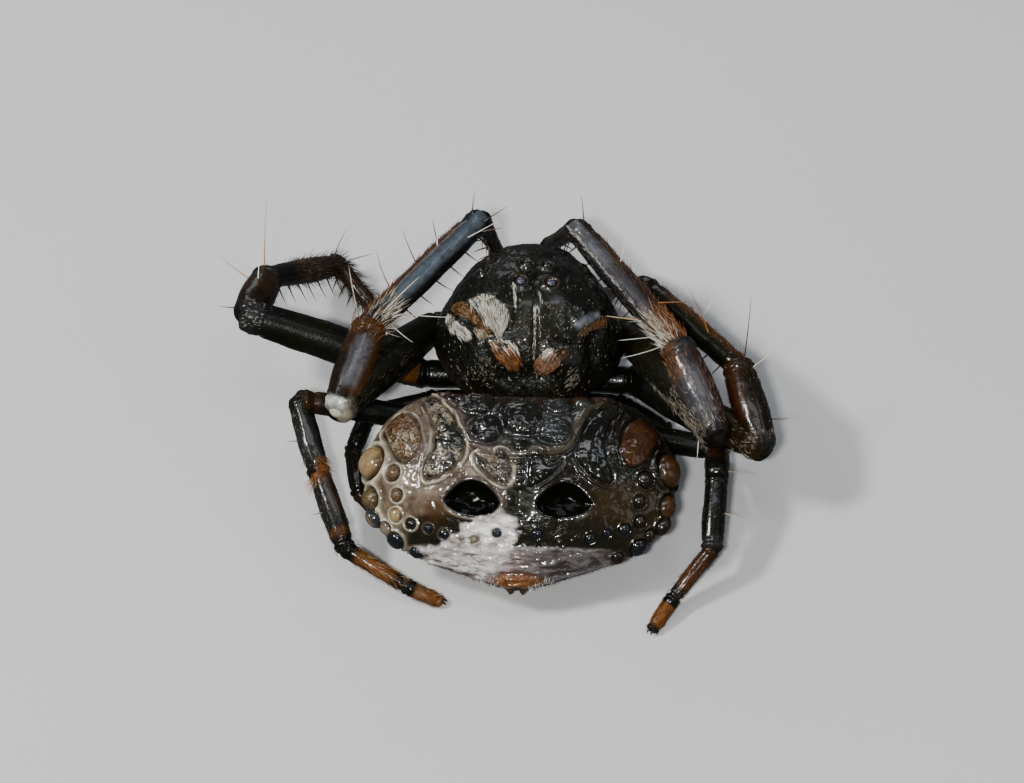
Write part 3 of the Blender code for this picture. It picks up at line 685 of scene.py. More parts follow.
def add_plate(skin, outline, height, shine, tones, rugged):
    """Granular plate with a groove and a welt round it; tones are its dark, its light and the welt's."""
    dark, light, welt = tones
    depth = inside_distance(skin.x, skin.y, outline) + EDGE_WANDER * skin.waves("plate_edge")
    lumps = skin.lumps("plate_lumps")
    wave = 0.25 + 0.75 * smoothstep(-0.45, 0.35, skin.waves("plate_wave"))
    inner = smoothstep(*PLATE_EDGE, depth)
    rise = 0.5 + 0.5 * smoothstep(*PLATE_RISE, depth)
    skin.height += inner * (height + PLATE_GRAIN * rugged * lumps) * rise
    skin.height -= PLATE_GROOVE * hill(depth, RELIEF_LINE)
    skin.height += WELT_LIFT * wave * hill(depth + WELT_OUT, RELIEF_LINE)
    skin.height -= OUTER_GROOVE * wave * hill(depth + OUTER_OUT, OUTER_LINE)
    tone = smoothstep(-0.35, 0.55, lumps + 0.7 * skin.waves("plate_tone"))
    # Welt tone, pale on the left: partly its own colour, partly a painted highlight along its crest
    skin.paint(hill(depth + WELT_OUT, PAINT_LINE) * 0.85 * wave ** 2, welt, 0.08, 0.0)
    skin.paint(inner, dark, shine, rugged)
    skin.paint(inner * tone, light)
    skin.paint(inner * hill(skin.lumps("plate_veins"), 0.10) * 0.75 * rugged, dark)
    skin.paint(inner * smoothstep(0.15, 0.50, skin.lumps("plate_pits")) * 0.7 * rugged, dark)
    # Black in the groove at the plate's edge and dark brown in the groove beyond the welt: painted shade
    skin.paint(hill(depth, PAINT_LINE) * 0.95, BLACK, 0.3, 0.2)
    skin.paint(hill(depth + OUTER_OUT, OUTER_LINE) * 0.8 * wave, DARK_BROWN)


def add_arcs(skin, side):
    """Two thin raised arcs between the long plate and the side plate."""
    x, y = skin.x * side, skin.y
    for step in ARC_STEPS:
        bend = x - (ARC_X - ARC_SWAY * np.sin((y - 1.0) * 2.2) + step)
        reach = smoothstep(0.5, 0.9, y) * smoothstep(2.8, 2.4, y) * smoothstep(0.10, 0.04, np.abs(bend))
        skin.height += 0.040 * hill(bend, ARC_WIDTH) * reach
        # Pink-brown on the left, olive on the right: the right's darker arcs are painted shade
        skin.paint(hill(bend, ARC_WIDTH) * reach * 0.8, PINK_BROWN if side > 0 else OLIVE)
        skin.paint(hill(bend + 0.06, 0.015) * reach * 0.7, BLACK)


def add_pit(skin, side):
    """Small dark pit behind the long plate."""
    pit = np.hypot(skin.x * side - TRIANGLE_PIT[0], skin.y - TRIANGLE_PIT[1])
    skin.height -= PIT_DEPTH * hill(pit, PIT_WIDTH)
    skin.paint(hill(pit, 0.055) * 0.8, BLACK)


def paint_grounds(skin):
    """Silver skin on the left, partly a painted sheen; olive and tan painted shade on the right; dark brown
    underneath.
    """
    wide, fine = skin.wide, skin.fine
    right = smoothstep(*RIGHT_SHADE_EDGE, skin.x + 0.05 * wide)
    blotches_and_glints = skin.lumps("blotches_and_glints")
    skin.paint(smoothstep(0.0, 0.9, wide + 0.4 * fine) * 0.55, TAN)
    skin.paint(smoothstep(0.1, 0.8, fine) * 0.45, PALE)
    skin.paint(smoothstep(0.35, 0.75, skin.lumps("blush")) * 0.5, PINK_BROWN)
    # Dark brown blotches where this field is high
    skin.paint(smoothstep(0.10, 0.45, blotches_and_glints) * 0.65, BROWN)
    skin.paint(hill(skin.lumps("brown_veins"), 0.06) * 0.6, PLATE_BROWN)
    # Painted glints: pale and glossy where the same field is low
    skin.paint(smoothstep(-0.15, -0.5, blotches_and_glints) * 0.5, PALE, 0.12)
    # Painted shade: the right half is painted olive, darker in patches, with a tan flank
    skin.paint(right, OLIVE, 0.20, 0.25)
    skin.paint(right * smoothstep(-0.1, 0.6, wide + 0.5 * fine) * 0.5, DARK_BROWN)
    skin.paint(right * smoothstep(*FLANK_X, skin.x) * smoothstep(*FLANK_Y, skin.y) * 0.8, RIGHT_TAN)
    skin.paint(1.0 - skin.up, DARK_BROWN, 0.40, 0.5)
    skin.height += 0.022 * fine + 0.025 * wide + 0.010 * skin.lumps("skin_grain")


def paint_shield(skin):
    """Teal-grey shield between the long plates; its edge is pinkish on the left and darker on the right as
    painted shade, with silver flecks on the left as a painted sheen and painted shade in the groove on the
    right.
    """
    depth = inside_distance(skin.x, skin.y, list(SHIELD_HALF) + mirrored(SHIELD_HALF[::-1], -1))
    inner = smoothstep(0.10, 0.28, depth + 0.04 * skin.fine)
    left = smoothstep(-0.2, 0.3, skin.x)
    band = smoothstep(-0.09, -0.02, depth)
    skin.paint(band, SHIELD_EDGE, 0.24, 0.15)
    # Pink only on the left: the right's darker edge is painted shade
    skin.paint(band * left, PINK_BROWN)
    skin.paint(inner, TEAL, 0.20, 0.5)
    skin.paint(inner * smoothstep(0.0, 0.6, skin.wide) * 0.6, OLIVE)
    # Silver flecks on the left only: a painted sheen
    skin.paint(inner * smoothstep(0.1, 0.7, skin.fine) * left * 0.5, SILVER)
    skin.height += 0.05 * hill(depth - 0.06, 0.07) - 0.06 * hill(depth + 0.10, 0.03) - 0.05 * inner
    # Black in the groove round the shield, on the right only: painted shade
    skin.paint(hill(depth + 0.10, 0.022) * 0.8 * smoothstep(0.6, -0.6, skin.x), BLACK)


def add_tubercles(skin):
    """Blocky tubercles down the middle of the back, and the rusty front rim."""
    x, y = skin.x, skin.y
    lumps = skin.lumps("tubercle_lumps")
    for cx, cy, rx, ry, height in TUBERCLES:
        across, along = np.abs((x - cx) / rx), np.abs((y - cy) / ry)
        far = (across ** TUBERCLE_POWER + along ** TUBERCLE_POWER) ** (1.0 / TUBERCLE_POWER)
        far = far + 0.12 * skin.waves("tubercle_edge")
        dome = np.clip(1.0 - far ** 2, 0.0, 1.0) ** 0.5
        skin.height += height * dome * (1.0 + 0.6 * lumps)
        skin.height -= 0.045 * hill(far - 1.1, 0.13)
        body = smoothstep(1.05, 0.85, far)
        skin.paint(body, SOOT if cx >= 0 else TEAL, 0.13, 0.6)
        skin.paint(body * smoothstep(0.15, 0.7, lumps) * 0.7, SLATE if cy < 2.2 else BROWN)
        # Black in the dip round each tubercle: painted shade
        skin.paint(hill(far - 1.12, 0.12) * 0.8, BLACK, 0.3)
    notch = NOTCH_DEPTH * np.maximum(0.0, 1.0 - (x / NOTCH_HALF_WIDTH) ** 2)
    rim = hill(y - FRONT_RIM - notch, 0.10)
    skin.paint(rim * smoothstep(-0.2, 0.5, skin.fine + 0.4), RUST, 0.16, 0.3)


def paint_dark_band(skin, behind):
    """Dark band behind the eyespots, with a glow outside each; behind is how far past the folds' edge."""
    x, y, up = skin.x, skin.y, skin.up
    dark = smoothstep(*DARK_BAND_Y, y + 0.06 * skin.wide) * smoothstep(0.05, -0.05, behind)
    skin.paint(dark * smoothstep(*DARK_BAND_X, np.abs(x)) * up, OLIVE, 0.2, 0.3)
    skin.paint(dark * smoothstep(0.0, 0.6, skin.fine) * up * 0.6, DARK_BROWN)
    for *oval, strength, colour, shine in GLOWS:
        skin.paint(hill(oval_distance(x, y, *oval), 0.9) * strength, colour, shine)


def paint_folds(skin, behind, stretched, crease):
    """Folds across the rear, lilac on the left, grey painted shade on the right, orange at the tail."""
    x, fine = skin.x, skin.fine
    fold = smoothstep(-0.03, 0.05, behind + 0.03 * fine) * skin.up
    ridge = 1.0 - np.abs(crease) * 2.2
    skin.height += fold * (0.055 * ridge + 0.04 * fractal(stretched, *FIELDS["fold_grain"]))
    skin.paint(fold, FOLD_LILAC, 0.20, 0.1)
    skin.paint(fold * smoothstep(0.2, 0.7, ridge) * 0.7, FOLD_WHITE)
    skin.paint(fold * smoothstep(0.40, 0.0, ridge) * 0.85, PINK_BROWN)
    skin.paint(fold * hill(fractal(stretched, *FIELDS["fold_veins"]), 0.07) * 0.8, LILAC)
    skin.paint(fold * hill(x + 0.05 + 0.5 * crease, 0.55) * 0.75, ROSE)
    # Painted shade: the folds turn grey toward the right
    shade = smoothstep(0.35, -0.75, x + 0.35 * crease)
    skin.paint(fold * shade * (0.97 - 0.12 * smoothstep(0.2, 0.8, ridge)), FOLD_SHADE_GREY, 0.22)
    tail = smoothstep(*TAIL_Y_RANGE, skin.y + 0.05 * fine) * smoothstep(*TAIL_X, np.abs(x - 0.05))
    skin.paint(fold * tail * 0.95, TAIL_ORANGE, 0.38, 0.5)
    skin.paint(fold * tail * smoothstep(0.0, 0.5, fine) * 0.5, RUST)


def paint_white_patch(skin, crease):
    """Lumpy white patch behind the left eyespot, fading into the folds; its white is partly the skin's own
    and partly a painted reflection, with painted highlights.
    """
    x, y, fine = skin.x, skin.y, skin.fine
    depth = inside_distance(x, y, WHITE_PATCH)
    ragged = skin.lumps("patch_edge")
    patch = smoothstep(-0.07, 0.07, depth + 0.16 * fine + 0.16 * ragged + 0.03)
    patch = patch * smoothstep(-0.04, 0.07, x + 0.20 * fine + 0.14 * ragged)
    patch = patch * (1.0 - 0.85 * smoothstep(*PATCH_REAR, y + 0.12 * crease))
    highlight_blotches = skin.waves("patch_highlights")
    skin.paint(hill(depth + 0.05, 0.05) * smoothstep(4.45, 4.25, y) * skin.up * 0.8, BLACK)
    # The white is partly the skin's own and partly a painted reflection
    skin.paint(patch, FOLD_WHITE, 0.20, 0.1)
    # Painted highlights: brightest white and glossier in soft blotches
    skin.paint(patch * smoothstep(-0.5, 0.1, highlight_blotches + 0.3 * fine), WHITE, 0.14)
    skin.paint(patch * smoothstep(*PATCH_SIDE, x + 0.3 * fine) * 0.6, FOLD_LILAC)
    skin.paint(patch * hill(crease, 0.09) * 0.6, PINK_BROWN)
    skin.paint(patch * smoothstep(0.30, 0.60, ragged) * 0.45, TAN)
    grains = skin.lumps("patch_grain")
    skin.height += patch * (0.070 * ragged + 0.050 * crease + 0.016 * grains + 0.02)


def add_furrow(skin):
    """Olive furrow between the eyespots."""
    between = hill(skin.x - FURROW_X, 0.42) * smoothstep(*FURROW_FRONT, skin.y)
    between = between * smoothstep(*FURROW_REAR, skin.y)
    skin.paint(between * 1.6, OLIVE, 0.40, 0.3)
    skin.height *= 1.0 - 0.6 * np.clip(between, 0.0, 1.0)
    skin.height -= between * (0.13 * hill(skin.x + 0.03, 0.20) - 0.03 * skin.lumps("furrow"))


def paint_rear(skin):
    """Dark band behind the eyespots, the folds of the tail, the white patch and the furrow."""
    behind = skin.y - (FOLD_EDGE - FOLD_BEND * skin.x ** 2)
    stretched = skin.points * np.array(FOLD_STRETCH)
    crease = fractal(stretched, *FIELDS["crease"])
    paint_dark_band(skin, behind)
    paint_folds(skin, behind, stretched, crease)
    paint_white_patch(skin, crease)
    add_furrow(skin)


def paint_eyespots(skin):
    """Smooth black bowls with a pale lip behind and painted shade before; on the right only the lip's outer
    end is pale, a painted glint.
    """
    x, y = skin.x, skin.y
    for _, side in SIDES:
        depth = inside_distance(x, y, mirrored(EYESPOT, side))
        share = np.clip(depth / EYESPOT_REACH, 0.0, 1.0)
        skin.height -= EYESPOT_DEPTH * (1.0 - (1.0 - share) ** 2)
        skin.height += (LEFT_LIP if side > 0 else RIGHT_LIP) * hill(depth + 0.045, 0.030)
        skin.paint(smoothstep(-0.03, 0.02, depth), SPOT_BLACK, 0.16, 0.0)
        lip = hill(depth + LIP_OUT, 0.020) * smoothstep(*LIP_BEHIND, y) * 0.6
        # On the right the pale lip is kept to its outer end: a painted glint
        outer_end = 0.6 * smoothstep(*RIGHT_LIP_END, x * side) if side < 0 else 0.9
        skin.paint(lip * outer_end, PALE, 0.2)
        skin.paint(hill(depth + LIP_OUT, 0.050) * smoothstep(*SHADE_BEFORE, y) * 0.85, DARK_BROWN)


def ring_beads(skin):
    """A welt and a groove round the foot of each bead, with painted shade in the groove and weaker olive
    welts on the right as painted shade.
    """
    wave = 0.45 + 0.55 * smoothstep(-0.4, 0.4, skin.waves("bead_wave"))
    for spot, _, radius, finish in bead_rows():
        far = np.linalg.norm(skin.points - spot, axis=1)
        ring, groove = (hill(far - radius * out, radius * width) * (far < radius * BEAD_REACH)
                        for out, width, _ in (BEAD_WELT, BEAD_GROOVE))
        skin.height += radius * (BEAD_WELT[2] * ring - BEAD_GROOVE[2] * groove)
        # Pale welts on the left, weaker olive ones on the right: painted shade of the right half
        strength = 0.85 if spot[0] > 0 and finish != "ink" else 0.5
        tone = (CREAM if spot[0] > 2.5 else SILVER) if spot[0] > 0 else OLIVE
        skin.paint(ring * wave * strength * skin.up, tone, 0.12, 0.0)
        # Black in the groove round each bead: painted shade
        skin.paint(groove * 0.9, BLACK)


def abdomen_skin():
    """The abdomen's skin with its plates, tubercles, eyespots and folds."""
    grid = body_grid(abdomen_points, ABDOMEN_ROWS, *ABDOMEN_GRID)
    # Silver ground: partly the skin's own colour, partly a painted sheen on the left half
    skin = Skin(grid.reshape(-1, 3), grid_normals(grid).reshape(-1, 3), SILVER, 0.22, 0.06)
    skin.mottle(*ABDOMEN_MOTTLE)
    paint_grounds(skin)
    paint_shield(skin)
    add_tubercles(skin)
    for _, side in SIDES:
        for outline, height, shine, left_tones, shaded_right_tones in PLATES:
            # The right half's plates take darker tones: painted shade
            tones, rugged = (left_tones, LEFT_RUGGED) if side > 0 else (shaded_right_tones, RIGHT_RUGGED)
            add_plate(skin, mirrored(outline, side), height, shine, tones, rugged)
        add_arcs(skin, side)
        add_pit(skin, side)
    paint_rear(skin)
    paint_eyespots(skin)
    ring_beads(skin)
    return skin, grid.shape[:2]


def add_bead(shape, spot, way, radius, finish, seed):
    """Glossy bead, a little uneven, sunk into the skin."""
    foot, crown, rough, grain = BEAD_FINISHES[finish]
    ball = ball_points(way, ALONG, BEAD_POLAR, BEAD_SIDES)
    height = (ball @ way)[..., None]
    uneven = 1.0 + BEAD_UNEVEN * fractal(ball * 0.8 + seed, 0.8, BEAD_SEED)
    flat = ball - way * BEAD_FLATTEN * height
    points = spot - way * radius * BEAD_SINK + flat * (uneven * radius)[..., None]
    tone = smoothstep(-0.1, 0.8, height + 0.3 * noise(points, radius * 0.6, 9)[..., None])
    add_tube(shape, points[::-1], blend(foot, crown, tone)[::-1].reshape(-1, 3), rough, grain)


def make_abdomen(materials):
    """The abdomen's skin, its beads and the two glossy eyespots."""
    skin, (rings, sides) = abdomen_skin()
    points = skin.raised()
    shape = Shape()
    add_tube(shape, points.reshape(rings, sides, 3), skin.colour, skin.rough, skin.grain)
    shape.build("abdomen_skin", materials["abdomen"], "abdomen_skin", ["abdomen"])
    beads = Shape()
    for k, row in enumerate(bead_rows()):
        add_bead(beads, *row, k)
    beads.build("abdomen_beads", materials["bead"], "abdomen_skin")
    quads = tube_quads(rings, sides)
    for side_name, side in SIDES:
        depth = inside_distance(skin.x, skin.y, mirrored(EYESPOT, side))
        inlay = quads[((depth > 0.0) & (skin.normals[:, 2] > 0.2))[quads].all(1)]
        used, places = np.unique(inlay, return_inverse=True)
        lens = Shape()
        lens.add(points[used] + skin.normals[used] * INLAY_LIFT, SPOT_BLACK, 0.14, 0.0, places.reshape(-1, 4))
        lens.build(f"eyespot_{side_name}", materials["eyespot"], "abdomen_skin")


# Eyes: x from the head's midline, y and radius, for one side
EYES = {
    "median_front": (0.26, -2.72, 0.13),
    "median_rear": (0.38, -2.08, 0.15),
    "lateral_front": (1.22, -3.05, 0.13),
    "lateral_rear": (1.38, -2.62, 0.13),
}
# Midline between the eyes, and how deep an eye sits, in its radii
EYE_SHIFT = -0.15
EYE_SINK = 0.30
EYE_SIDES = 32
EYE_POLAR = np.linspace(0.01, 0.99, 24) * math.pi
# Place of the furrow down the middle of the carapace
MIDLINE = -0.27
# Soft dents and swellings of the carapace: x, y, radius along x, radius along y, height
CARAPACE_SWELLS = (
    (MIDLINE, -0.90, 0.07, 0.55, -0.10),
    (MIDLINE + 0.42, -1.05, 0.22, 0.42, -0.05), (MIDLINE - 0.40, -1.08, 0.22, 0.42, -0.05),
    (MIDLINE + 0.72, -0.42, 0.34, 0.26, 0.10), (MIDLINE - 0.50, -0.34, 0.34, 0.24, 0.10),
    (MIDLINE + 1.10, -1.35, 0.42, 0.40, 0.12), (MIDLINE + 1.95, -1.30, 0.24, 0.34, 0.09),
    (MIDLINE + 1.50, -0.45, 0.34, 0.26, 0.12), (MIDLINE - 1.15, -1.35, 0.28, 0.35, 0.11),
    (MIDLINE - 1.45, -0.90, 0.16, 0.40, -0.10), (MIDLINE - 1.60, -1.55, 0.24, 0.30, 0.09),
    (MIDLINE - 0.70, -1.58, 0.20, 0.14, 0.08), (MIDLINE - 1.05, -0.18, 0.28, 0.20, 0.10),
    (MIDLINE - 0.75, -2.81, 0.22, 0.18, 0.07), (MIDLINE + 0.95, -2.30, 0.40, 0.30, 0.07),
    (MIDLINE - 0.90, -2.20, 0.30, 0.30, 0.07), (MIDLINE, -2.40, 0.14, 0.22, -0.06),
    (MIDLINE, -3.20, 0.70, 0.20, -0.06), (MIDLINE, -0.04, 1.10, 0.14, -0.09),
    (MIDLINE + 1.05, -0.78, 0.50, 0.07, -0.06), (MIDLINE - 0.85, -0.66, 0.40, 0.07, -0.06),
)
# Soft patches on the carapace: x, y, radius along x, radius along y
DARK_MIDDLE = (MIDLINE, -0.62, 0.42, 0.22)
OLIVE_MIDDLE = (MIDLINE - 0.05, -1.30, 0.75, 0.55)
LILAC_SPOT = (-0.77, -1.62, 0.14, 0.14)
# Heights where the carapace's sides start to darken and are dark
SIDE_DARK = (2.75, 2.40)
# Slow and fine unevenness of the carapace
CARAPACE_RELIEF = (0.055, 0.022)
# Outlines on the right of the carapace: a bluish painted sheen and a brown band
BLUISH_SHEEN = ((-1.26, -1.08), (-1.47, -1.33), (-1.76, -1.56), (-1.70, -1.36), (-1.40, -1.08))
BROWN_BAND = ((-1.35, -0.93), (-1.52, -1.15), (-1.74, -1.38), (-2.09, -1.74), (-2.01, -1.49), (-1.74, -1.18))


def eye_places():
    """Name, spot, outward direction and radius of each eye."""
    for label, (x, y, radius) in EYES.items():
        for side_name, side in SIDES:
            places, angles = np.array([y]), np.array([angle_over(CARAPACE_ROWS, y, side * x + EYE_SHIFT)])
            way = normals_at(carapace_points, places, angles)[0]
            yield f"eye_{label}_{side_name}", carapace_points(places, angles)[0], way, radius


def add_eye_sockets(skin):
    """A brown ring and a dent round each eye."""
    for name, spot, _, radius in eye_places():
        far = np.linalg.norm(skin.points - spot, axis=1) / radius
        skin.height += radius * (0.60 * hill(far - 1.25, 0.5) - 0.9 * hill(far, 0.75))
        ring = BROWN if name == "eye_median_rear_right" else DARK_BROWN
        skin.paint(hill(far - 1.2, 0.40) * 0.8, ring, 0.40, 0.3)


def paint_carapace_marks(skin):
    """Olive middle, a bluish painted sheen and brown marks on the right, and colour under the dense patches
    of hair.
    """
    x, y = skin.x, skin.y
    skin.paint(hill(oval_distance(x, y, *DARK_MIDDLE), 1.0) * 0.8, DARK_BROWN)
    middle = hill(oval_distance(x, y, *OLIVE_MIDDLE), 1.0)
    skin.paint(middle, OLIVE, 0.34, 0.15)
    skin.height -= 0.6 * middle * CARAPACE_RELIEF[1] * skin.fine
    skin.paint(hill(oval_distance(x, y, *LILAC_SPOT), 1.0) * 0.8, LILAC, 0.25, 0.2)
    # Painted sheen: a bluish, glossier patch on the right
    painted_sheen = smoothstep(-0.08, 0.08, inside_distance(x, y, BLUISH_SHEEN) + 0.06 * skin.fine)
    skin.paint(painted_sheen * 0.9, BLUE_SHEEN, 0.20, 0.2)
    skin.paint(smoothstep(-0.04, 0.05, inside_distance(x, y, BROWN_BAND)), BROWN, 0.25, 0.4)
    skin.paint(smoothstep(*SIDE_DARK, skin.z) * 0.5, DARK_BROWN)
    for outline, count, *_, under in CARAPACE_TUFTS:
        if count >= DENSE_PATCH:
            skin.paint(smoothstep(-0.01, 0.07, inside_distance(x, y, outline)) * UNDERPAINT, under)


def carapace_surface(points, normals):
    """The shell's relief and colours at points of the head and thorax."""
    skin = Skin(points, normals, BLACK, 0.30, 0.6)
    skin.mottle(*CARAPACE_MOTTLE)
    skin.height += CARAPACE_RELIEF[0] * skin.wide + CARAPACE_RELIEF[1] * skin.fine
    skin.paint(smoothstep(0.0, 0.8, skin.wide) * 0.6, OLIVE)
    skin.paint(smoothstep(0.2, 0.8, skin.fine) * 0.35, SLATE)
    skin.paint(smoothstep(0.3, 0.7, skin.lumps("shell_gloss")), None, 0.16, 0.6)
    for *oval, height in CARAPACE_SWELLS:
        skin.height += height * hill(oval_distance(skin.x, skin.y, *oval), 1.0)
    add_eye_sockets(skin)
    paint_carapace_marks(skin)
    return skin


def carapace_skin():
    """The shell of the head and thorax."""
    grid = body_grid(carapace_points, CARAPACE_ROWS, *CARAPACE_GRID)
    return carapace_surface(grid.reshape(-1, 3), grid_normals(grid).reshape(-1, 3)), grid.shape[:2]


def make_carapace(materials):
    """The shell and a ball for each eye."""
    skin, (rings, sides) = carapace_skin()
    shape = Shape()
    add_tube(shape, skin.raised().reshape(rings, sides, 3), skin.colour, skin.rough, skin.grain)
    shape.build("carapace_shell", materials["shell"], "black_shell", ["cephalothorax"])
    for name, spot, way, radius in eye_places():
        eye = Shape()
        ball = ball_points(way, UP, EYE_POLAR, EYE_SIDES)
        points = spot - way * radius * EYE_SINK + ball * radius
        glow = smoothstep(0.3, 1.0, ball @ way)[..., None] * ("median_rear" in name)
        add_tube(eye, points[::-1], blend(BLACK, EYE_GLOW, glow)[::-1].reshape(-1, 3), 0.05, 0.0)
        eye.build(name + "_lens", materials["eye"], "eye", [name])


# Leg joints: coxa root, trochanter end, knee, patella end, tibia end, metatarsus end, tip
JOINTS = {
    "left_1": (
        (0.45, -2.30, 1.25), (2.35, -2.50, 1.90), (4.55, 1.00, 2.90), (3.86, -1.12, 3.55),
        (1.24, -4.72, 3.50), (0.78, -5.12, 1.50), (0.50, -5.30, 0.10),
    ),
    "right_1": (
        (-0.55, -2.30, 1.25), (-2.45, -2.50, 1.90), (-4.83, 1.42, 2.85), (-3.83, -0.72, 3.58),
        (-1.18, -4.55, 3.45), (-0.45, -5.45, 1.60), (-0.30, -5.90, 0.10),
    ),
    "left_2": (
        (0.45, -1.52, 1.20), (2.70, -1.45, 1.28), (7.02, -2.13, 2.60), (6.60, -3.68, 2.20),
        (4.93, -5.45, 0.62), (4.00, -4.30, 0.32), (3.40, -3.30, 0.10),
    ),
    "right_2": (
        (-0.55, -1.52, 1.20), (-2.80, -1.40, 1.28), (-5.98, 1.41, 2.38), (-5.33, -0.69, 2.90),
        (-2.95, -3.61, 2.40), (-2.35, -4.55, 1.10), (-1.95, -5.15, 0.10),
    ),
    "left_3": (
        (0.45, -0.76, 1.18), (2.40, -0.66, 1.12), (3.95, -0.22, 1.00), (4.25, 0.65, 0.70),
        (4.05, 1.80, 0.45), (3.45, 2.45, 0.25), (2.90, 2.90, 0.10),
    ),
    "right_3": (
        (-0.55, -0.76, 1.18), (-2.50, -0.66, 1.10), (-3.60, -0.14, 0.82), (-3.62, 0.72, 0.58),
        (-3.35, 1.85, 0.40), (-2.90, 2.55, 0.25), (-2.50, 3.05, 0.10),
    ),
    "left_4": (
        (0.40, -0.10, 1.16), (2.10, 0.06, 1.15), (5.60, 0.25, 2.20), (5.00, 2.07, 1.60),
        (4.27, 3.85, 0.90), (2.64, 4.60, 0.36), (1.87, 4.81, 0.10),
    ),
    "right_4": (
        (-0.50, -0.10, 1.16), (-2.20, 0.06, 1.12), (-4.90, 0.78, 1.35), (-4.88, 1.95, 1.75),
        (-4.80, 3.70, 1.10), (-3.83, 4.77, 0.36), (-3.38, 5.48, 0.10),
    ),
}
SEGMENTS = ("coxa", "femur", "patella", "tibia", "metatarsus", "tarsus")
NODES = ("coxa", "femur", "patella", "tibia", "foot")

# Radii at the start, middle and end of each segment, by pair of legs
RADII = {
    "1": {
        "coxa": (0.34, 0.37, 0.38), "femur": (0.38, 0.53, 0.42), "patella": (0.36, 0.48, 0.42),
        "tibia": (0.34, 0.37, 0.31), "metatarsus": (0.25, 0.21, 0.20), "tarsus": (0.20, 0.18, 0.15),
    },
    "2": {
        "coxa": (0.32, 0.35, 0.36), "femur": (0.36, 0.48, 0.42), "patella": (0.36, 0.45, 0.38),
        "tibia": (0.28, 0.31, 0.27), "metatarsus": (0.24, 0.20, 0.19), "tarsus": (0.19, 0.17, 0.15),
    },
    "3": {
        "coxa": (0.28, 0.30, 0.30), "femur": (0.27, 0.29, 0.25), "patella": (0.22, 0.24, 0.22),
        "tibia": (0.21, 0.22, 0.19), "metatarsus": (0.18, 0.16, 0.16), "tarsus": (0.16, 0.15, 0.13),
    },
    "4": {
        "coxa": (0.28, 0.29, 0.28), "femur": (0.27, 0.31, 0.28), "patella": (0.27, 0.31, 0.27),
        "tibia": (0.26, 0.29, 0.24), "metatarsus": (0.22, 0.19, 0.18), "tarsus": (0.19, 0.18, 0.14),
    },
}
# How far the middle of a thigh is lifted
BOW = {"left_1": 0.16, "right_1": 0.30, "left_2": 0.05, "left_4": 0.10}
# Mesh of a segment: points round it and along it, and how they bunch up; seed and roughness
LEG_AROUND = 40
LEG_ALONG = 72
LEG_BUNCHING = 0.4
LEG_SEED = 100
FEMUR_ROUGH = 0.34
# Rounded ends of a segment: how far it goes past its joints, how deep the rounding is, how square
OVERLAP = 0.42
CAP_DEPTH = 0.55
CAP_POWER = 2.6
# Relief of a leg: slow, along it and at the collars; shares where the collars and the last dip lie, width
LEG_RELIEF = (0.022, 0.012, 0.030)
START_COLLAR, END_COLLAR, END_DIP = 0.050, 0.955, 0.055
COLLAR_WIDTH = 0.05
# Ball of soft skin at a joint
JOINT_SIZE = 0.66
JOINT_SIDES = 24
JOINT_POLAR = np.linspace(0.02, 0.98, 14) * math.pi
# Claws: how far out and up each corner is, the radii, and the least height over the floor
CLAW = ((0.0, 0.0), (0.13, 0.03), (0.22, -0.01), (0.24, -0.06))
CLAW_RADII = (0.035, 0.03, 0.018, 0.004)
CLAW_FLOOR = 0.02
# Root of a claw: back from the tip, away from its middle, up
CLAW_BACK, CLAW_APART, CLAW_UP = 0.10, 0.05, 0.03

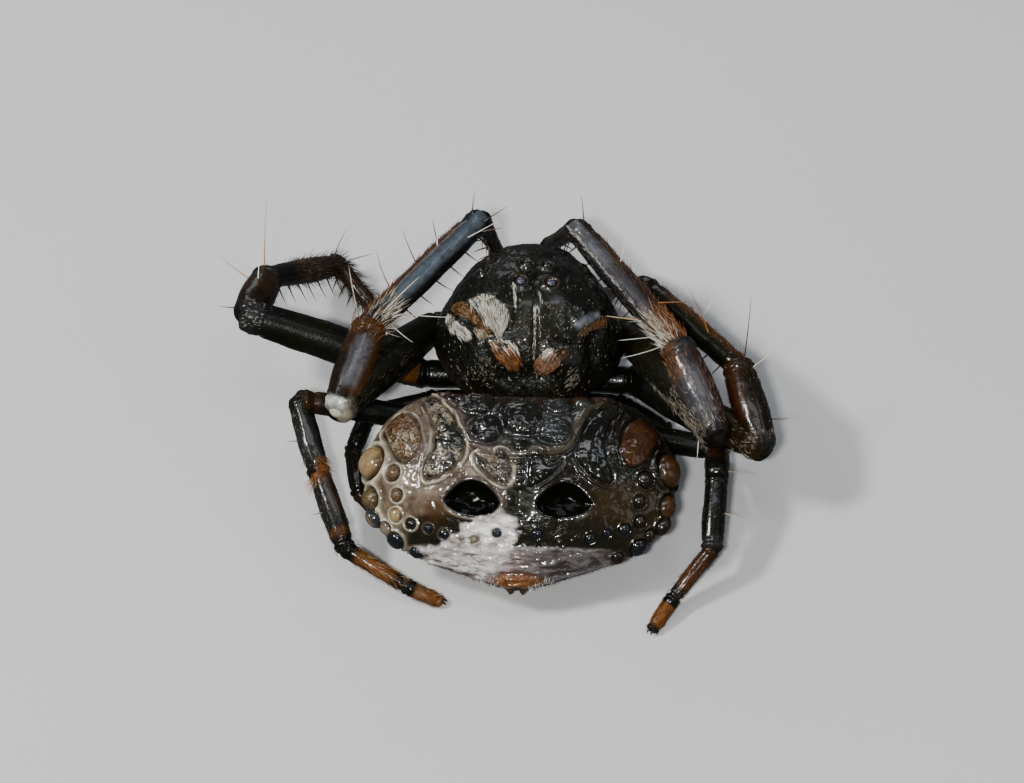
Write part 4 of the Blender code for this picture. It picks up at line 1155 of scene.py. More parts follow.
# Paint on the legs: segment, from and to shares, facing (or None all round), colour, strength
DARK_FOOT = (("metatarsus", 0.0, 1.0, None, DARK_BROWN, 0.9), ("tarsus", 0.1, 1.0, None, BROWN, 0.9))
THIRD_LEG = (
    ("tibia", 0.0, 1.0, None, DARK_BROWN, 0.8), ("metatarsus", 0.0, 1.0, None, BROWN, 0.9),
    ("tarsus", 0.1, 1.0, None, AMBER, 0.8),
)
STROKES = {
    "left_1": (
        ("femur", 0.0, 1.0, (0, 0.3, 1), OLIVE, 0.7), ("patella", 0.0, 1.0, None, DARK_BROWN, 0.9),
        ("patella", 0.15, 1.0, (-1, 0, -0.1), AMBER, 0.8), ("patella", 0.6, 1.0, (1, 0, 0), BROWN, 0.8),
        # The knee's white end and the femur's pale tip: partly pale skin, partly a painted highlight
        ("patella", 0.85, 1.1, None, AMBER, 0.6), ("patella", -0.5, 0.06, None, WHITE, 0.85),
        ("patella", -0.07, -0.01, None, BLUE_BLACK, 0.9), ("femur", 0.99, 1.2, (0, 1, 0.3), PALE, 0.8),
        ("tibia", -0.1, 0.95, None, BLUE_BLACK, 0.8),
        ("tibia", -0.1, 0.85, (1, -0.7, 0), AMBER, 0.7),
        ("tibia", 0.2, 0.8, (-1, 0.6, -0.2), DARK_BROWN, 0.6),
        *DARK_FOOT,
    ),
    "right_1": (
        ("femur", 0.0, 1.0, None, OLIVE, 0.8), ("patella", 0.0, 1.0, (0.3, 0.2, 1), LILAC, 0.6),
        ("patella", 0.62, 1.05, (0.9, 0.5, -0.2), AMBER, 0.8), ("patella", 0.0, 0.9, (-1, 0, 0), RUST, 0.9),
        ("patella", 0.0, 0.12, None, BLACK, 0.8), ("tibia", 0.15, 1.0, (0.1, 0.1, 1), SLATE, 0.55),
        ("tibia", 0.0, 1.0, (-1, -0.5, 0.1), BROWN, 0.9), ("tibia", 0.55, 0.72, (-1, -0.5, 0.1), AMBER, 0.8),
        ("tibia", -0.1, 0.30, (-0.3, 0, 1), AMBER, 0.8), *DARK_FOOT,
    ),
    "left_2": (
        ("femur", 0.55, 0.75, (0, 0.4, 1), OLIVE, 0.5), ("femur", 0.0, 0.14, (0, 0.2, 1), ORANGE, 0.8),
        # Slate at the knee, facing the camera: painted glints
        ("femur", 0.93, 1.1, (0, 0.6, 0.6), SLATE, 0.8), ("patella", -0.2, 0.08, (0, 1, 0.6), SLATE, 0.8),
        ("patella", 0.08, 1.0, None, DARK_BROWN, 0.7), ("patella", 0.4, 0.9, (0, 0, 1), BROWN, 0.6),
        ("tibia", 0.0, 0.3, None, SOOT, 0.8), ("tibia", 0.3, 1.0, None, BROWN, 0.7),
        ("metatarsus", 0.0, 1.0, None, BROWN, 0.9), ("tarsus", 0.1, 1.0, None, AMBER, 0.6),
    ),
    "right_2": (
        ("femur", 0.7, 1.1, (0, 0.6, 0.6), BROWN, 0.8), ("patella", 0.0, 1.0, None, DARK_BROWN, 0.9),
        ("patella", 0.3, 1.0, (1, 0.2, 0), RUST, 0.8), ("patella", 0.85, 1.05, (0, 0, 1), BROWN, 0.6),
        ("patella", -0.3, 0.10, None, SLATE, 0.6), ("tibia", 0.0, 1.0, (0, 0, 1), OLIVE, 0.6),
        ("tibia", 0.0, 0.8, (-1, -0.5, 0.2), AMBER, 0.8), *DARK_FOOT,
    ),
    "left_3": THIRD_LEG,
    "right_3": THIRD_LEG,
    "left_4": (
        ("femur", 0.82, 1.1, None, BROWN, 0.8), ("patella", 0.0, 1.0, None, SOOT, 0.8),
        # Slate streaks on the upper side of the patella and the tibia: painted highlights
        ("patella", -0.1, 0.16, (-1, -0.5, 0), AMBER, 0.8), ("patella", 0.3, 0.9, (0.5, 0.3, 1), SLATE, 0.7),
        ("patella", 0.84, 1.1, (-1, 0, 0.4), ORANGE, 0.8), ("tibia", -0.1, 0.12, (-0.2, 0, 1), ORANGE, 0.8),
        ("tibia", 0.0, 0.6, (-1, 0, 0.3), RUST, 0.9), ("tibia", 0.1, 0.7, (0.6, 0.2, 1), SLATE, 0.6),
        ("tibia", 0.74, 0.84, None, AMBER, 0.9), ("metatarsus", 0.16, 0.78, None, AMBER, 0.95),
        ("metatarsus", 0.2, 0.7, (0, 0, 1), ORANGE, 0.6), ("metatarsus", 0.78, 1.1, None, SOOT, 0.95),
        ("tarsus", 0.14, 1.1, None, ORANGE, 0.8), ("tarsus", 0.14, 0.5, (0, 0, 1), TAN, 0.5),
    ),
    "right_4": (
        ("patella", 0.0, 0.62, None, RUST, 0.5), ("tibia", 0.05, 0.72, None, BLACK, 0.8),
        # Slate at the end of the tibia, facing the camera: a painted highlight
        ("tibia", 0.84, 1.0, (0, 1, 1), SLATE, 0.9), ("metatarsus", 0.14, 0.78, None, AMBER, 0.9),
        ("metatarsus", 0.0, 0.4, None, RUST, 0.8), ("metatarsus", 0.78, 1.1, None, SOOT, 0.95),
        ("tarsus", 0.16, 0.9, None, ORANGE, 0.8), ("tarsus", 0.9, 1.1, None, SOOT, 0.9),
    ),
}

# Painted highlight bands, narrow reflections along the top of a segment, in the same form
HIGHLIGHT_BANDS = {
    "left_1": (
        ("tibia", 0.12, 1.1, (0.05, 0.62, 0.79), STEEL_HIGHLIGHT, 0.85),
        ("patella", 0.22, 0.80, (-0.1, 0.62, 0.79), PEARL_HIGHLIGHT, 0.65),
    ),
    "right_1": (
        ("tibia", 0.62, 1.1, (-0.05, 0.62, 0.79), PEARL_HIGHLIGHT, 0.75),
        ("tibia", 0.15, 0.62, (0.05, 0.62, 0.79), LILAC, 0.8),
        ("patella", 0.10, 0.70, (0.0, 0.62, 0.79), PEARL_HIGHLIGHT, 0.4),
    ),
}
# How squarely a point faces the direction of a stroke, a painted highlight band or a tuft, where it starts
# and is full
STROKE_EDGE = (-0.10, 0.70)
HIGHLIGHT_BAND_EDGE = (0.74, 1.0)
TUFT_EDGE = (0.10, 0.90)
# Colour of the soft skin at a joint, where it isn't dark brown
JOINT_COLOURS = {("left_1", "patella"): CREAM}


def taper(radii, share):
    """Radius between the start, middle and end values."""
    start, middle, end = radii
    swell = np.sin(math.pi * np.clip(share, 0.0, 1.0))
    return np.where(share < 0.5, start + (middle - start) * swell, end + (middle - end) * swell)


class Segment:
    """One length of a leg, with its axis, directions and radii."""

    def __init__(self, leg, name, start, end, bow):
        self.leg, self.name = leg, name
        self.start, self.end = np.array(start, float), np.array(end, float)
        self.axis = unit(self.end - self.start)
        self.length = float(np.linalg.norm(self.end - self.start))
        self.up = unit(UP - self.axis * (UP @ self.axis))
        self.side = np.cross(self.axis, self.up)
        self.radii = RADII[leg[-1]][name]
        self.bow = bow

    def centre(self, share):
        """Points on the axis."""
        share = np.asarray(share, float)[..., None]
        lift = self.bow * np.sin(math.pi * np.clip(share, 0.0, 1.0))
        return self.start + (self.end - self.start) * share + UP * lift

    def outward(self, around):
        """Directions away from the axis."""
        around = np.asarray(around, float)[..., None]
        return self.up * np.cos(around) + self.side * np.sin(around)

    def surface(self, share, around):
        """Points of the skin before its relief."""
        return self.centre(share) + self.outward(around) * taper(self.radii, share)[..., None]


def leg_segments(leg):
    """Segments of a leg, from the body to the tip."""
    joints = JOINTS[leg]
    bows = [BOW.get(leg, 0.0) if name == "femur" else 0.0 for name in SEGMENTS]
    return [Segment(leg, *row) for row in zip(SEGMENTS, joints, joints[1:], bows)]


def facing_mask(segment, around, facing, edge):
    """How far points round a segment face a direction."""
    if facing is None:
        return np.ones(np.shape(around))
    way = np.array(facing, float)
    way = unit(way - segment.axis * (way @ segment.axis))
    return smoothstep(*edge, segment.outward(around) @ way)


def leg_relief(segment, share, around):
    """Unevenness and collars of a segment, with the two fields they come from."""
    seed = LEG_SEED + 10 * SEGMENTS.index(segment.name)
    length = segment.length
    wide = fractal(segment.surface(share, around), 0.5, seed)
    rolled = np.stack((share * length * 0.5, around * taper(segment.radii, share) * 3.0, share * 0.0), -1)
    long_grain = fractal(rolled, 0.3, seed + 7)
    near_end = (share - END_COLLAR) * length
    near_start = (share - START_COLLAR) * length
    collar = hill(near_end, COLLAR_WIDTH) + 0.7 * hill(near_start, COLLAR_WIDTH)
    collar = collar - hill(near_end + END_DIP * length, COLLAR_WIDTH)
    lift = LEG_RELIEF[0] * wide + LEG_RELIEF[1] * long_grain + LEG_RELIEF[2] * collar
    return lift, wide, long_grain


def paint_segment(skin, segment, share, around, long_grain, seed):
    """Strokes and painted highlight bands of one segment, with soft uneven edges."""
    soft = 0.06 + 0.05 * noise(skin.points, 0.15, seed + 3)
    for table, edge in ((STROKES, STROKE_EDGE), (HIGHLIGHT_BANDS, HIGHLIGHT_BAND_EDGE)):
        for name, low, high, facing, colour, strength in table.get(segment.leg, ()):
            if name == segment.name:
                mask = smoothstep(low - soft, low + soft, share) * smoothstep(high + soft, high - soft, share)
                mask = mask * facing_mask(segment, around, facing, edge)
                skin.paint(mask * strength * (0.85 + 0.3 * long_grain), colour)


def add_segment(shape, segment, seed):
    """Skin of one leg segment with rounded ends, a collar and its colours."""
    before, after = (OVERLAP * segment.radii[k] / segment.length for k in (0, 2))
    share = -before + (1.0 + before + after) * eased_steps(LEG_ALONG, LEG_BUNCHING)
    around = np.arange(LEG_AROUND) * TURN / LEG_AROUND
    share, around = np.meshgrid(share, around, indexing="ij")
    ends = np.minimum(share + before, 1.0 + after - share) * segment.length
    cap = 1.0 - np.clip(1.0 - ends / (CAP_DEPTH * segment.radii[0]), 0.0, 1.0) ** CAP_POWER
    lift, wide, long_grain = leg_relief(segment, share, around)
    outward = segment.outward(around)
    sizes = (taper(segment.radii, share) + lift) * cap ** 0.5
    points = segment.centre(share) + outward * sizes[..., None]
    skin = Skin(points.reshape(-1, 3), outward.reshape(-1, 3), BLACK, 0.22, 0.30)
    skin.paint(smoothstep(0.0, 0.9, wide.ravel()) * 0.6, SOOT)
    if segment.name == "femur":
        skin.rough[:] = FEMUR_ROUGH
    paint_segment(skin, segment, share.ravel(), around.ravel(), long_grain.ravel(), seed)
    skin.points[:, 2] = np.maximum(skin.z, 0.0)
    add_tube(shape, skin.points.reshape(LEG_ALONG, LEG_AROUND, 3), skin.colour, skin.rough, skin.grain)


def add_joint_skin(shape, before, after):
    """Soft skin between two segments."""
    radius = min(before.radii[2], after.radii[0]) * JOINT_SIZE
    ball = ball_points(unit(before.axis + after.axis), UP + 0.1, JOINT_POLAR, JOINT_SIDES)
    colour = JOINT_COLOURS.get((after.leg, after.name), DARK_BROWN)
    add_tube(shape, (before.end + ball * radius)[::-1], colour, 0.3, 0.4)


def add_claws(shape, tarsus):
    """Pair of curved claws at the tip."""
    out = unit(tarsus.axis * np.array((1, 1, 0.2)))
    for side in (1, -1):
        root = tarsus.end - tarsus.axis * CLAW_BACK + tarsus.side * side * CLAW_APART + UP * CLAW_UP
        corners = np.array([root + out * reach + UP * rise for reach, rise in CLAW])
        corners[:, 2] = np.maximum(corners[:, 2], CLAW_FLOOR)
        rod(shape, corners, CLAW_RADII, BLACK, 0.15, 0.0, 8, 14)


def make_leg_skin(leg, materials):
    """The thigh of a leg, and its other segments with their joints and claws."""
    shape, thigh = Shape(), Shape()
    segments = leg_segments(leg)
    for k, segment in enumerate(segments):
        add_segment(thigh if segment.name == "femur" else shape, segment, LEG_SEED + 10 * k)
    for before, after in zip(segments, segments[1:]):
        add_joint_skin(shape, before, after)
    add_claws(shape, segments[-1])
    nodes = [f"leg_{leg}_{node}" for node in NODES if node != "femur"]
    slot = "brown_shell" if leg.endswith("4") else "black_shell"
    shape.build(f"leg_{leg}_skin", materials["shell"], slot, nodes)
    thigh.build(f"leg_{leg}_thigh_skin", materials["thigh"], slot, [f"leg_{leg}_femur"])


# Seed of every random draw, and how a hair thins out and shines
COAT_SEED = 23
HAIR_TAPER = 0.6
HAIR_ROUGH = 0.35
# Least and most of a hair's radius and brightness, against the plain value
RADIUS_SPREAD = (0.8, 1.2)
TONE_SPREAD = (0.75, 1.2)
# The same for its length, on the legs, the carapace and the abdomen
LEG_LENGTHS, CARAPACE_LENGTHS, ABDOMEN_LENGTHS = (0.6, 1.25), (0.6, 1.2), (0.5, 1.2)
# The map of a coat piece: size of a hair's patch, and the part of the map that the roots use
UV_PATCH = 0.003
MAP_EDGE, MAP_SPAN = 0.02, 0.94


def map_share(share):
    """Place on the map for a share of the skin, clear of the map's edges."""
    return MAP_EDGE + MAP_SPAN * share


def add_hairs(shape, roots, ways, lengths, radii, colours, uvs, bend, tips=None, sides=3, rings=3):
    """Many thin tapered hairs at once, each a closed mesh with a patch of its own on the map."""
    count = len(roots)
    ways = unit(ways)
    helper = np.where(np.abs(ways[:, 2:]) < STEEP, UP, ACROSS)
    first = unit(np.cross(ways, helper))
    second = np.cross(ways, first)
    stops = np.linspace(0.0, 1.0, rings + 1)
    lengths = np.asarray(lengths)[:, None]
    centres = [roots + ways * lengths * stop + bend * lengths * stop ** 2 for stop in stops]
    for centre in centres:
        centre[:, 2] = np.maximum(centre[:, 2], radii)
    angles = np.arange(sides) * TURN / sides
    blocks = []
    for k in range(rings):
        size = np.asarray(radii)[:, None, None] * (1.0 - stops[k]) ** HAIR_TAPER
        ring = (np.cos(angles)[None, :, None] * first[:, None, :]
                + np.sin(angles)[None, :, None] * second[:, None, :])
        blocks.append(centres[k][:, None, :] + ring * size)
    blocks.append(centres[-1][:, None, :])
    points = np.concatenate(blocks, 1)
    per_hair = rings * sides + 1
    quads = tube_quads(rings, sides)
    tip = cap_triangles((rings - 1) * sides, sides, rings * sides, False)
    base = np.arange(count)[:, None, None] * per_hair
    tips = colours if tips is None else tips
    ramp = np.append(np.repeat(stops[:-1], sides), 1.0)
    shades = blend(colours[:, None, :], tips[:, None, :], ramp[None, :, None])
    offsets = np.stack((ramp, np.append(np.tile(angles / TURN, rings), 0.5)), -1) * UV_PATCH
    patch = uvs[:, None, :] * (1.0 - UV_PATCH) + offsets[None, :, :]
    shape.add(points.reshape(-1, 3), shades.reshape(-1, 3), HAIR_ROUGH, 0.0,
              (quads[None] + base).reshape(-1, 4), (tip[None] + base).reshape(-1, 3), patch.reshape(-1, 2))


def mixed_colours(draw, first, second, count):
    """Random blends of two colours, with a little change in brightness."""
    share = draw.uniform(0, 1, (count, 1))
    tone = draw.uniform(*TONE_SPREAD, (count, 1))
    return blend(second, first, share) * tone


# Hairs on the legs: segment, from and to shares, facing, count, length, lean, two colours
TUFTS = {
    "left_1": (
        ("tibia", 0.00, 0.20, (-0.4, 0.6, 1), 90, 0.36, 0.25, CREAM, HONEY),
        ("tibia", 0.02, 0.16, (-1, 0.5, 0.2), 30, 0.50, 0.35, WHITE, CREAM),
        ("tibia", 0.02, 0.80, (1, -0.7, 0.1), 260, 0.26, 0.22, ORANGE, AMBER),
        ("patella", 0.00, 0.06, None, 120, 0.08, 0.30, WHITE, CREAM),
        ("patella", 0.05, 0.95, None, 140, 0.13, 0.12, BROWN, SOOT),
        ("patella", 0.80, 1.00, (0, 0, 1), 60, 0.25, 0.60, ORANGE, AMBER),
        ("femur", 0.30, 0.98, (-0.4, 0.3, 1), 240, 0.24, 0.06, SILVER, SLATE),
        ("tibia", 0.30, 1.00, None, 90, 0.16, 0.30, SOOT, BROWN),
    ),
    "right_1": (
        ("tibia", 0.00, 0.24, (0.72, 0.50, 0.30), 90, 0.42, 0.22, WHITE, CREAM),
        ("tibia", 0.00, 0.12, (0.62, 0.40, 0.67), 60, 0.26, 0.20, WHITE, CREAM),
        ("tibia", 0.00, 0.22, (-0.2, 0, 1), 170, 0.30, 0.25, GLOW_ORANGE, ORANGE),
        ("tibia", 0.20, 0.80, (-1, -0.5, 0.3), 160, 0.22, 0.25, ORANGE, AMBER),
        ("tibia", 0.15, 0.95, (0.1, 0.1, 1), 320, 0.18, 0.04, SILVER, SLATE),
        ("patella", 0.05, 0.70, (0.1, 0.3, 1), 420, 0.22, 0.04, SILVER, PINK_BROWN),
        ("patella", 0.05, 0.30, (0.3, 0.3, 1), 80, 0.20, 0.06, PALE, WHITE),
        ("patella", 0.60, 1.00, (0.80, 0.50, 0.10), 120, 0.24, 0.12, GLOW_ORANGE, RUST),
        ("femur", 0.25, 0.75, (0.6, 0.2, 0.8), 360, 0.26, 0.05, SOOT, SLATE),
        ("femur", 0.65, 1.00, (0.6, 0.2, 0.8), 330, 0.28, 0.06, SILVER, PALE),
    ),
    "left_2": (
        ("femur", 0.90, 1.02, (0, 0.5, 1), 90, 0.09, 0.30, WHITE, TAN),
        ("femur", 0.10, 0.95, (0, 0, 1), 120, 0.10, 0.08, SLATE, SOOT),
        ("patella", 0.00, 0.95, None, 140, 0.14, 0.20, SOOT, BROWN),
        ("tibia", 0.25, 1.00, None, 320, 0.30, 0.50, BROWN, DARK_BROWN),
        ("tibia", 0.35, 0.60, (0, 0.4, 1), 110, 0.22, 0.15, SILVER, TAN),
        ("metatarsus", 0.00, 1.00, None, 220, 0.32, 0.55, BROWN, DARK_BROWN),
        ("tarsus", 0.00, 0.95, None, 140, 0.24, 0.45, BROWN, AMBER),
    ),
    "right_2": (
        ("patella", 0.00, 0.10, None, 130, 0.14, 0.30, CREAM, TAN),
        ("patella", 0.10, 0.95, None, 200, 0.16, 0.15, BROWN, DARK_BROWN),
        ("femur", 0.80, 1.00, (0, 0.6, 0.6), 110, 0.18, 0.30, CREAM, BROWN),
        ("tibia", 0.00, 0.90, (-1, -0.5, 0.3), 200, 0.22, 0.25, AMBER, ORANGE),
    ),
    "left_4": (
        ("patella", 0.05, 0.95, (1, 0.2, 0.8), 120, 0.13, 0.08, SILVER, PALE),
        ("tibia", 0.05, 0.80, (1, 0.2, 0.8), 110, 0.13, 0.08, SILVER, SLATE),
        ("patella", 0.80, 1.00, (-1, 0, 0.3), 50, 0.24, 0.40, ORANGE, AMBER),
        ("tibia", 0.00, 0.15, (1, 0.3, 0), 30, 0.30, 0.60, GLOW_ORANGE, CREAM),
        ("metatarsus", 0.10, 0.85, None, 200, 0.22, 0.18, ORANGE, AMBER),
        ("metatarsus", 0.10, 0.90, (0, 0, 1), 70, 0.24, 0.20, HONEY, ORANGE),
        ("tarsus", 0.10, 0.95, None, 200, 0.16, 0.22, ORANGE, TAN),
        ("tibia", 0.60, 1.00, None, 90, 0.16, 0.30, SOOT, BROWN),
    ),
    "right_4": (
        ("patella", -0.02, 0.10, (0, 0.5, 1), 110, 0.20, 0.35, WHITE, SILVER),
        ("patella", 0.10, 0.95, None, 120, 0.14, 0.18, RUST, SOOT),
        ("tibia", 0.05, 0.95, None, 140, 0.14, 0.18, RUST, SOOT),
        ("metatarsus", 0.10, 0.85, None, 200, 0.18, 0.20, AMBER, BROWN),
        ("tarsus", 0.10, 0.95, None, 160, 0.14, 0.22, ORANGE, AMBER),
    ),
}
# Short dark hairs on every leg: segment and count
UNDERCOAT = (("femur", 150), ("patella", 110), ("tibia", 140), ("metatarsus", 110), ("tarsus", 90))
# Rows of hairs that form a ridge: leg, segment, from and to shares, facing, count, length, two colours
RIDGES = (
    ("right_1", "tibia", 0.04, 1.00, (0.62, 0.40, 0.67), 330, 0.13, WHITE, PALE),
    ("right_1", "tibia", 0.10, 0.98, (0.82, 0.57, 0.15), 160, 0.15, TAN, SOOT),
    ("right_1", "patella", 0.05, 0.72, (0.22, 0.40, 0.89), 80, 0.16, WHITE, PALE),
    ("right_1", "femur", 0.45, 1.00, (0.95, 0.2, -0.1), 70, 0.22, PALE, SILVER),
    ("left_1", "tibia", 0.00, 0.90, (0.95, -0.65, 0.2), 130, 0.22, GLOW_ORANGE, ORANGE),
)
RIDGE_SPREAD = 0.06
RIDGE_LEAN = 0.10
# How unevenly hairs on the legs are combed, and how far all of them stand off
LEG_SCATTER = 0.16
LEAST_LEAN = 0.12
# Times as many places are drawn where hairs face one way, as most of them are dropped
FACING_TRIES = 6

# Bold bristles: segment, share along it, direction, length, colour at the foot and at the tip
BRISTLES = {
    "left_1": (
        ("patella", 0.95, (0.25, -0.50, 0.75), 1.35, ORANGE, WHITE),
        ("tibia", 0.06, (-0.65, -0.40, 0.65), 1.15, GLOW_ORANGE, WHITE),
        ("tibia", 0.25, (0.50, -0.50, 0.65), 1.00, ORANGE, BROWN),
        ("tibia", 0.48, (0.45, -0.55, 0.70), 1.00, ORANGE, BROWN),
        ("tibia", 0.66, (0.25, -0.60, 0.75), 0.70, SOOT, BROWN),
        ("tibia", 0.80, (-0.85, -0.20, 0.50), 0.80, CREAM, WHITE),
        ("tibia", 0.15, (-1.00, 0.10, 0.05), 1.25, ORANGE, WHITE),
        ("tibia", 0.95, (-0.80, -0.35, 0.40), 0.65, SOOT, BROWN),
        ("tibia", 0.95, (0.00, -0.60, 0.80), 0.60, SOOT, BROWN),
        ("tibia", 0.64, (0.06, -0.60, 0.80), 0.75, WHITE, WHITE),
        ("tibia", 0.10, (-0.55, 0.60, -0.20), 0.75, CREAM, WHITE),
        ("tibia", 0.90, (-1.00, -0.10, 0.20), 0.60, SOOT, ORANGE),
    ),
    "right_1": (
        ("tibia", 0.62, (-0.30, -0.55, 0.75), 0.65, CREAM, WHITE),
        ("tibia", 0.95, (0.00, -0.60, 0.80), 0.70, SOOT, BROWN),
        ("tibia", 0.25, (1.00, 0.00, 0.05), 1.15, GLOW_ORANGE, CREAM),
        ("tibia", 0.12, (0.95, 0.15, -0.05), 0.85, RUST, WHITE),
        ("femur", 0.88, (0.10, 0.60, -0.60), 0.60, CREAM, WHITE),
        ("tibia", 0.05, (1.00, 0.45, -0.15), 1.00, SILVER, WHITE),
        ("tibia", 0.30, (-0.80, 0.30, 0.45), 1.10, GLOW_ORANGE, ORANGE),
    ),
    "left_2": (
        ("patella", 0.93, (0.04, -0.60, 0.80), 1.95, GLOW_ORANGE, CREAM),
        ("patella", 0.74, (0.85, -0.35, 0.40), 1.15, GLOW_ORANGE, CREAM),
        ("patella", 0.58, (0.00, -0.50, 0.85), 0.60, WHITE, WHITE),
        ("patella", 0.12, (1.00, 0.00, 0.05), 0.45, SOOT, BROWN),
        ("tibia", 0.90, (-0.25, -0.60, 0.75), 0.80, BROWN, TAN),
        ("tibia", 0.95, (-0.90, -0.20, 0.30), 0.75, BROWN, TAN),
        ("femur", 0.10, (-0.70, -0.30, 0.65), 0.60, CREAM, WHITE),
    ),
    "right_2": (
        ("patella", 0.95, (-0.10, -0.55, 0.80), 1.75, BROWN, ORANGE),
        ("patella", 0.90, (-0.75, -0.35, 0.50), 1.30, CREAM, CREAM),
        ("patella", 0.30, (-1.00, 0.00, 0.00), 0.50, SOOT, ORANGE),
        ("tibia", 0.30, (0.30, -0.45, 0.80), 1.20, GLOW_ORANGE, ORANGE),
        ("tibia", 0.45, (-0.50, -0.50, 0.70), 0.60, TAN, WHITE),
    ),
    "left_4": (
        ("patella", 0.55, (0.90, 0.00, 0.30), 0.45, ORANGE, CREAM),
        ("tibia", 0.50, (0.80, 0.30, 0.30), 0.40, ORANGE, CREAM),
    ),
    "right_4": (
        ("patella", 0.80, (-1.00, 0.00, 0.10), 0.55, ORANGE, CREAM),
        ("tibia", 0.50, (-0.80, 0.30, 0.30), 0.40, ORANGE, CREAM),
    ),
}
# Thorns under the front legs: segment, pairs, length; then how they stand and where they are
THORN_ROWS = (("tibia", 7, 0.50), ("metatarsus", 5, 0.42))
THORN_SPREAD = 0.9
THORN_LEAN = 0.35
THORN_JITTER = 0.08
THORN_RANGE = (0.12, 0.92)
THORN_RADIUS = 0.024
BRISTLE_RADIUS = 0.019
# Share of the segment's radius where a bristle is rooted
BRISTLE_ROOT = 0.7
# Radius of a hair: at no length, and more for each millimetre of length, on the legs and on the shell
LEG_HAIR_RADIUS = (0.005, 0.010)
SHELL_HAIR_RADIUS = (0.005, 0.018)


def grow_ridge(shape, segment, low, high, facing, count, length, first, second, draw):
    """Hairs in a narrow row along a segment."""
    way = np.array(facing, float)
    turn = math.atan2(way @ segment.side, way @ segment.up)
    share = draw.uniform(low, high, count)
    around = turn + draw.normal(0, RIDGE_SPREAD, count)
    lay_hairs(shape, segment, share, around, length, RIDGE_LEAN, first, second, draw)


def grow_tuft(shape, segment, low, high, facing, count, length, lean, first, second, draw):
    """Hairs that lie along one stretch of a segment."""
    tries = count * (1 if facing is None else FACING_TRIES)
    share = draw.uniform(low, high, tries)
    around = draw.uniform(0, TURN, tries)
    keep = draw.uniform(0, 1, tries) < facing_mask(segment, around, facing, TUFT_EDGE)
    share, around = share[keep][:count], around[keep][:count]
    lay_hairs(shape, segment, share, around, length, lean, first, second, draw)


def place_on_map(segment, share, turn):
    """Place on a leg's map: along it and, in the segment's own strip, round it."""
    strip = (SEGMENTS.index(segment.name) + turn) / len(SEGMENTS)
    return np.stack((map_share(np.clip(share, 0, 1)), strip), -1)


def lay_hairs(shape, segment, share, around, length, lean, first, second, draw):
    """Hairs at places on a segment, combed toward its end."""
    number = len(share)
    outward = segment.outward(around)
    lift = leg_relief(segment, share, around)[0] - 0.01
    roots = segment.surface(share, around) + outward * lift[:, None]
    scatter = draw.normal(0, LEG_SCATTER, (number, 3))
    ways = segment.axis * (1.0 - 0.6 * lean) + outward * (lean + LEAST_LEAN) + scatter
    lengths = length * draw.uniform(*LEG_LENGTHS, number)
    radii = (LEG_HAIR_RADIUS[0] + LEG_HAIR_RADIUS[1] * length) * draw.uniform(*RADIUS_SPREAD, number)
    bend = -outward * 0.10 + segment.axis * 0.20 * lean - UP * 0.03
    colours = mixed_colours(draw, first, second, number)
    uvs = place_on_map(segment, share, 0.05 + 0.9 * around / TURN)
    add_hairs(shape, roots, ways, lengths, radii, colours, uvs, bend)


def grow_bristle(shape, segment, share, direction, length, first, second, draw, radius=BRISTLE_RADIUS):
    """One bold curved bristle with a darker foot."""
    way = unit(np.array(direction, float))
    outward = unit(way - segment.axis * (way @ segment.axis))
    size = float(taper(segment.radii, np.array(share)))
    root = segment.centre(np.array(share)) + outward * size * BRISTLE_ROOT
    reach = length + size * (1.0 - BRISTLE_ROOT)
    bend = segment.axis * draw.uniform(0.05, 0.28) - UP * 0.08
    uvs = place_on_map(segment, np.array([share]), np.array([0.5]))
    add_hairs(shape, root[None], way[None], [reach], [radius], np.array([first]), uvs, bend[None],
              np.array([second]), 8, 10)


def grow_thorns(shape, segment, count, length, draw):
    """Two rows of thorns under a segment."""
    across = unit(np.cross(segment.axis, UP))
    below = -unit(np.cross(across, segment.axis))
    for share in np.linspace(*THORN_RANGE, count):
        for side in (1, -1):
            way = below + across * side * THORN_SPREAD + segment.axis * THORN_LEAN
            way = way + draw.normal(0, THORN_JITTER, 3)
            grow_bristle(shape, segment, share, way, length, DARK_BROWN, AMBER, draw, THORN_RADIUS)


def make_leg_coat(leg, materials, draw):
    """Hairs and bristles of one leg."""
    shape = Shape()
    segments = {segment.name: segment for segment in leg_segments(leg)}
    for name, count in UNDERCOAT:
        grow_tuft(shape, segments[name], 0.02, 0.98, None, count, 0.12, 0.16, SOOT, DARK_BROWN, draw)
    for name, *row in TUFTS.get(leg, ()):
        grow_tuft(shape, segments[name], *row, draw)
    for owner, name, *row in RIDGES:
        if owner == leg:
            grow_ridge(shape, segments[name], *row, draw)
    for name, *row in BRISTLES.get(leg, ()):
        grow_bristle(shape, segments[name], *row, draw)
    if leg[-1] in "12":
        for name, count, length in THORN_ROWS:
            grow_thorns(shape, segments[name], count, length, draw)
    shape.build(f"leg_{leg}_hairs", materials["hair"], "brown_shell", coat=True)


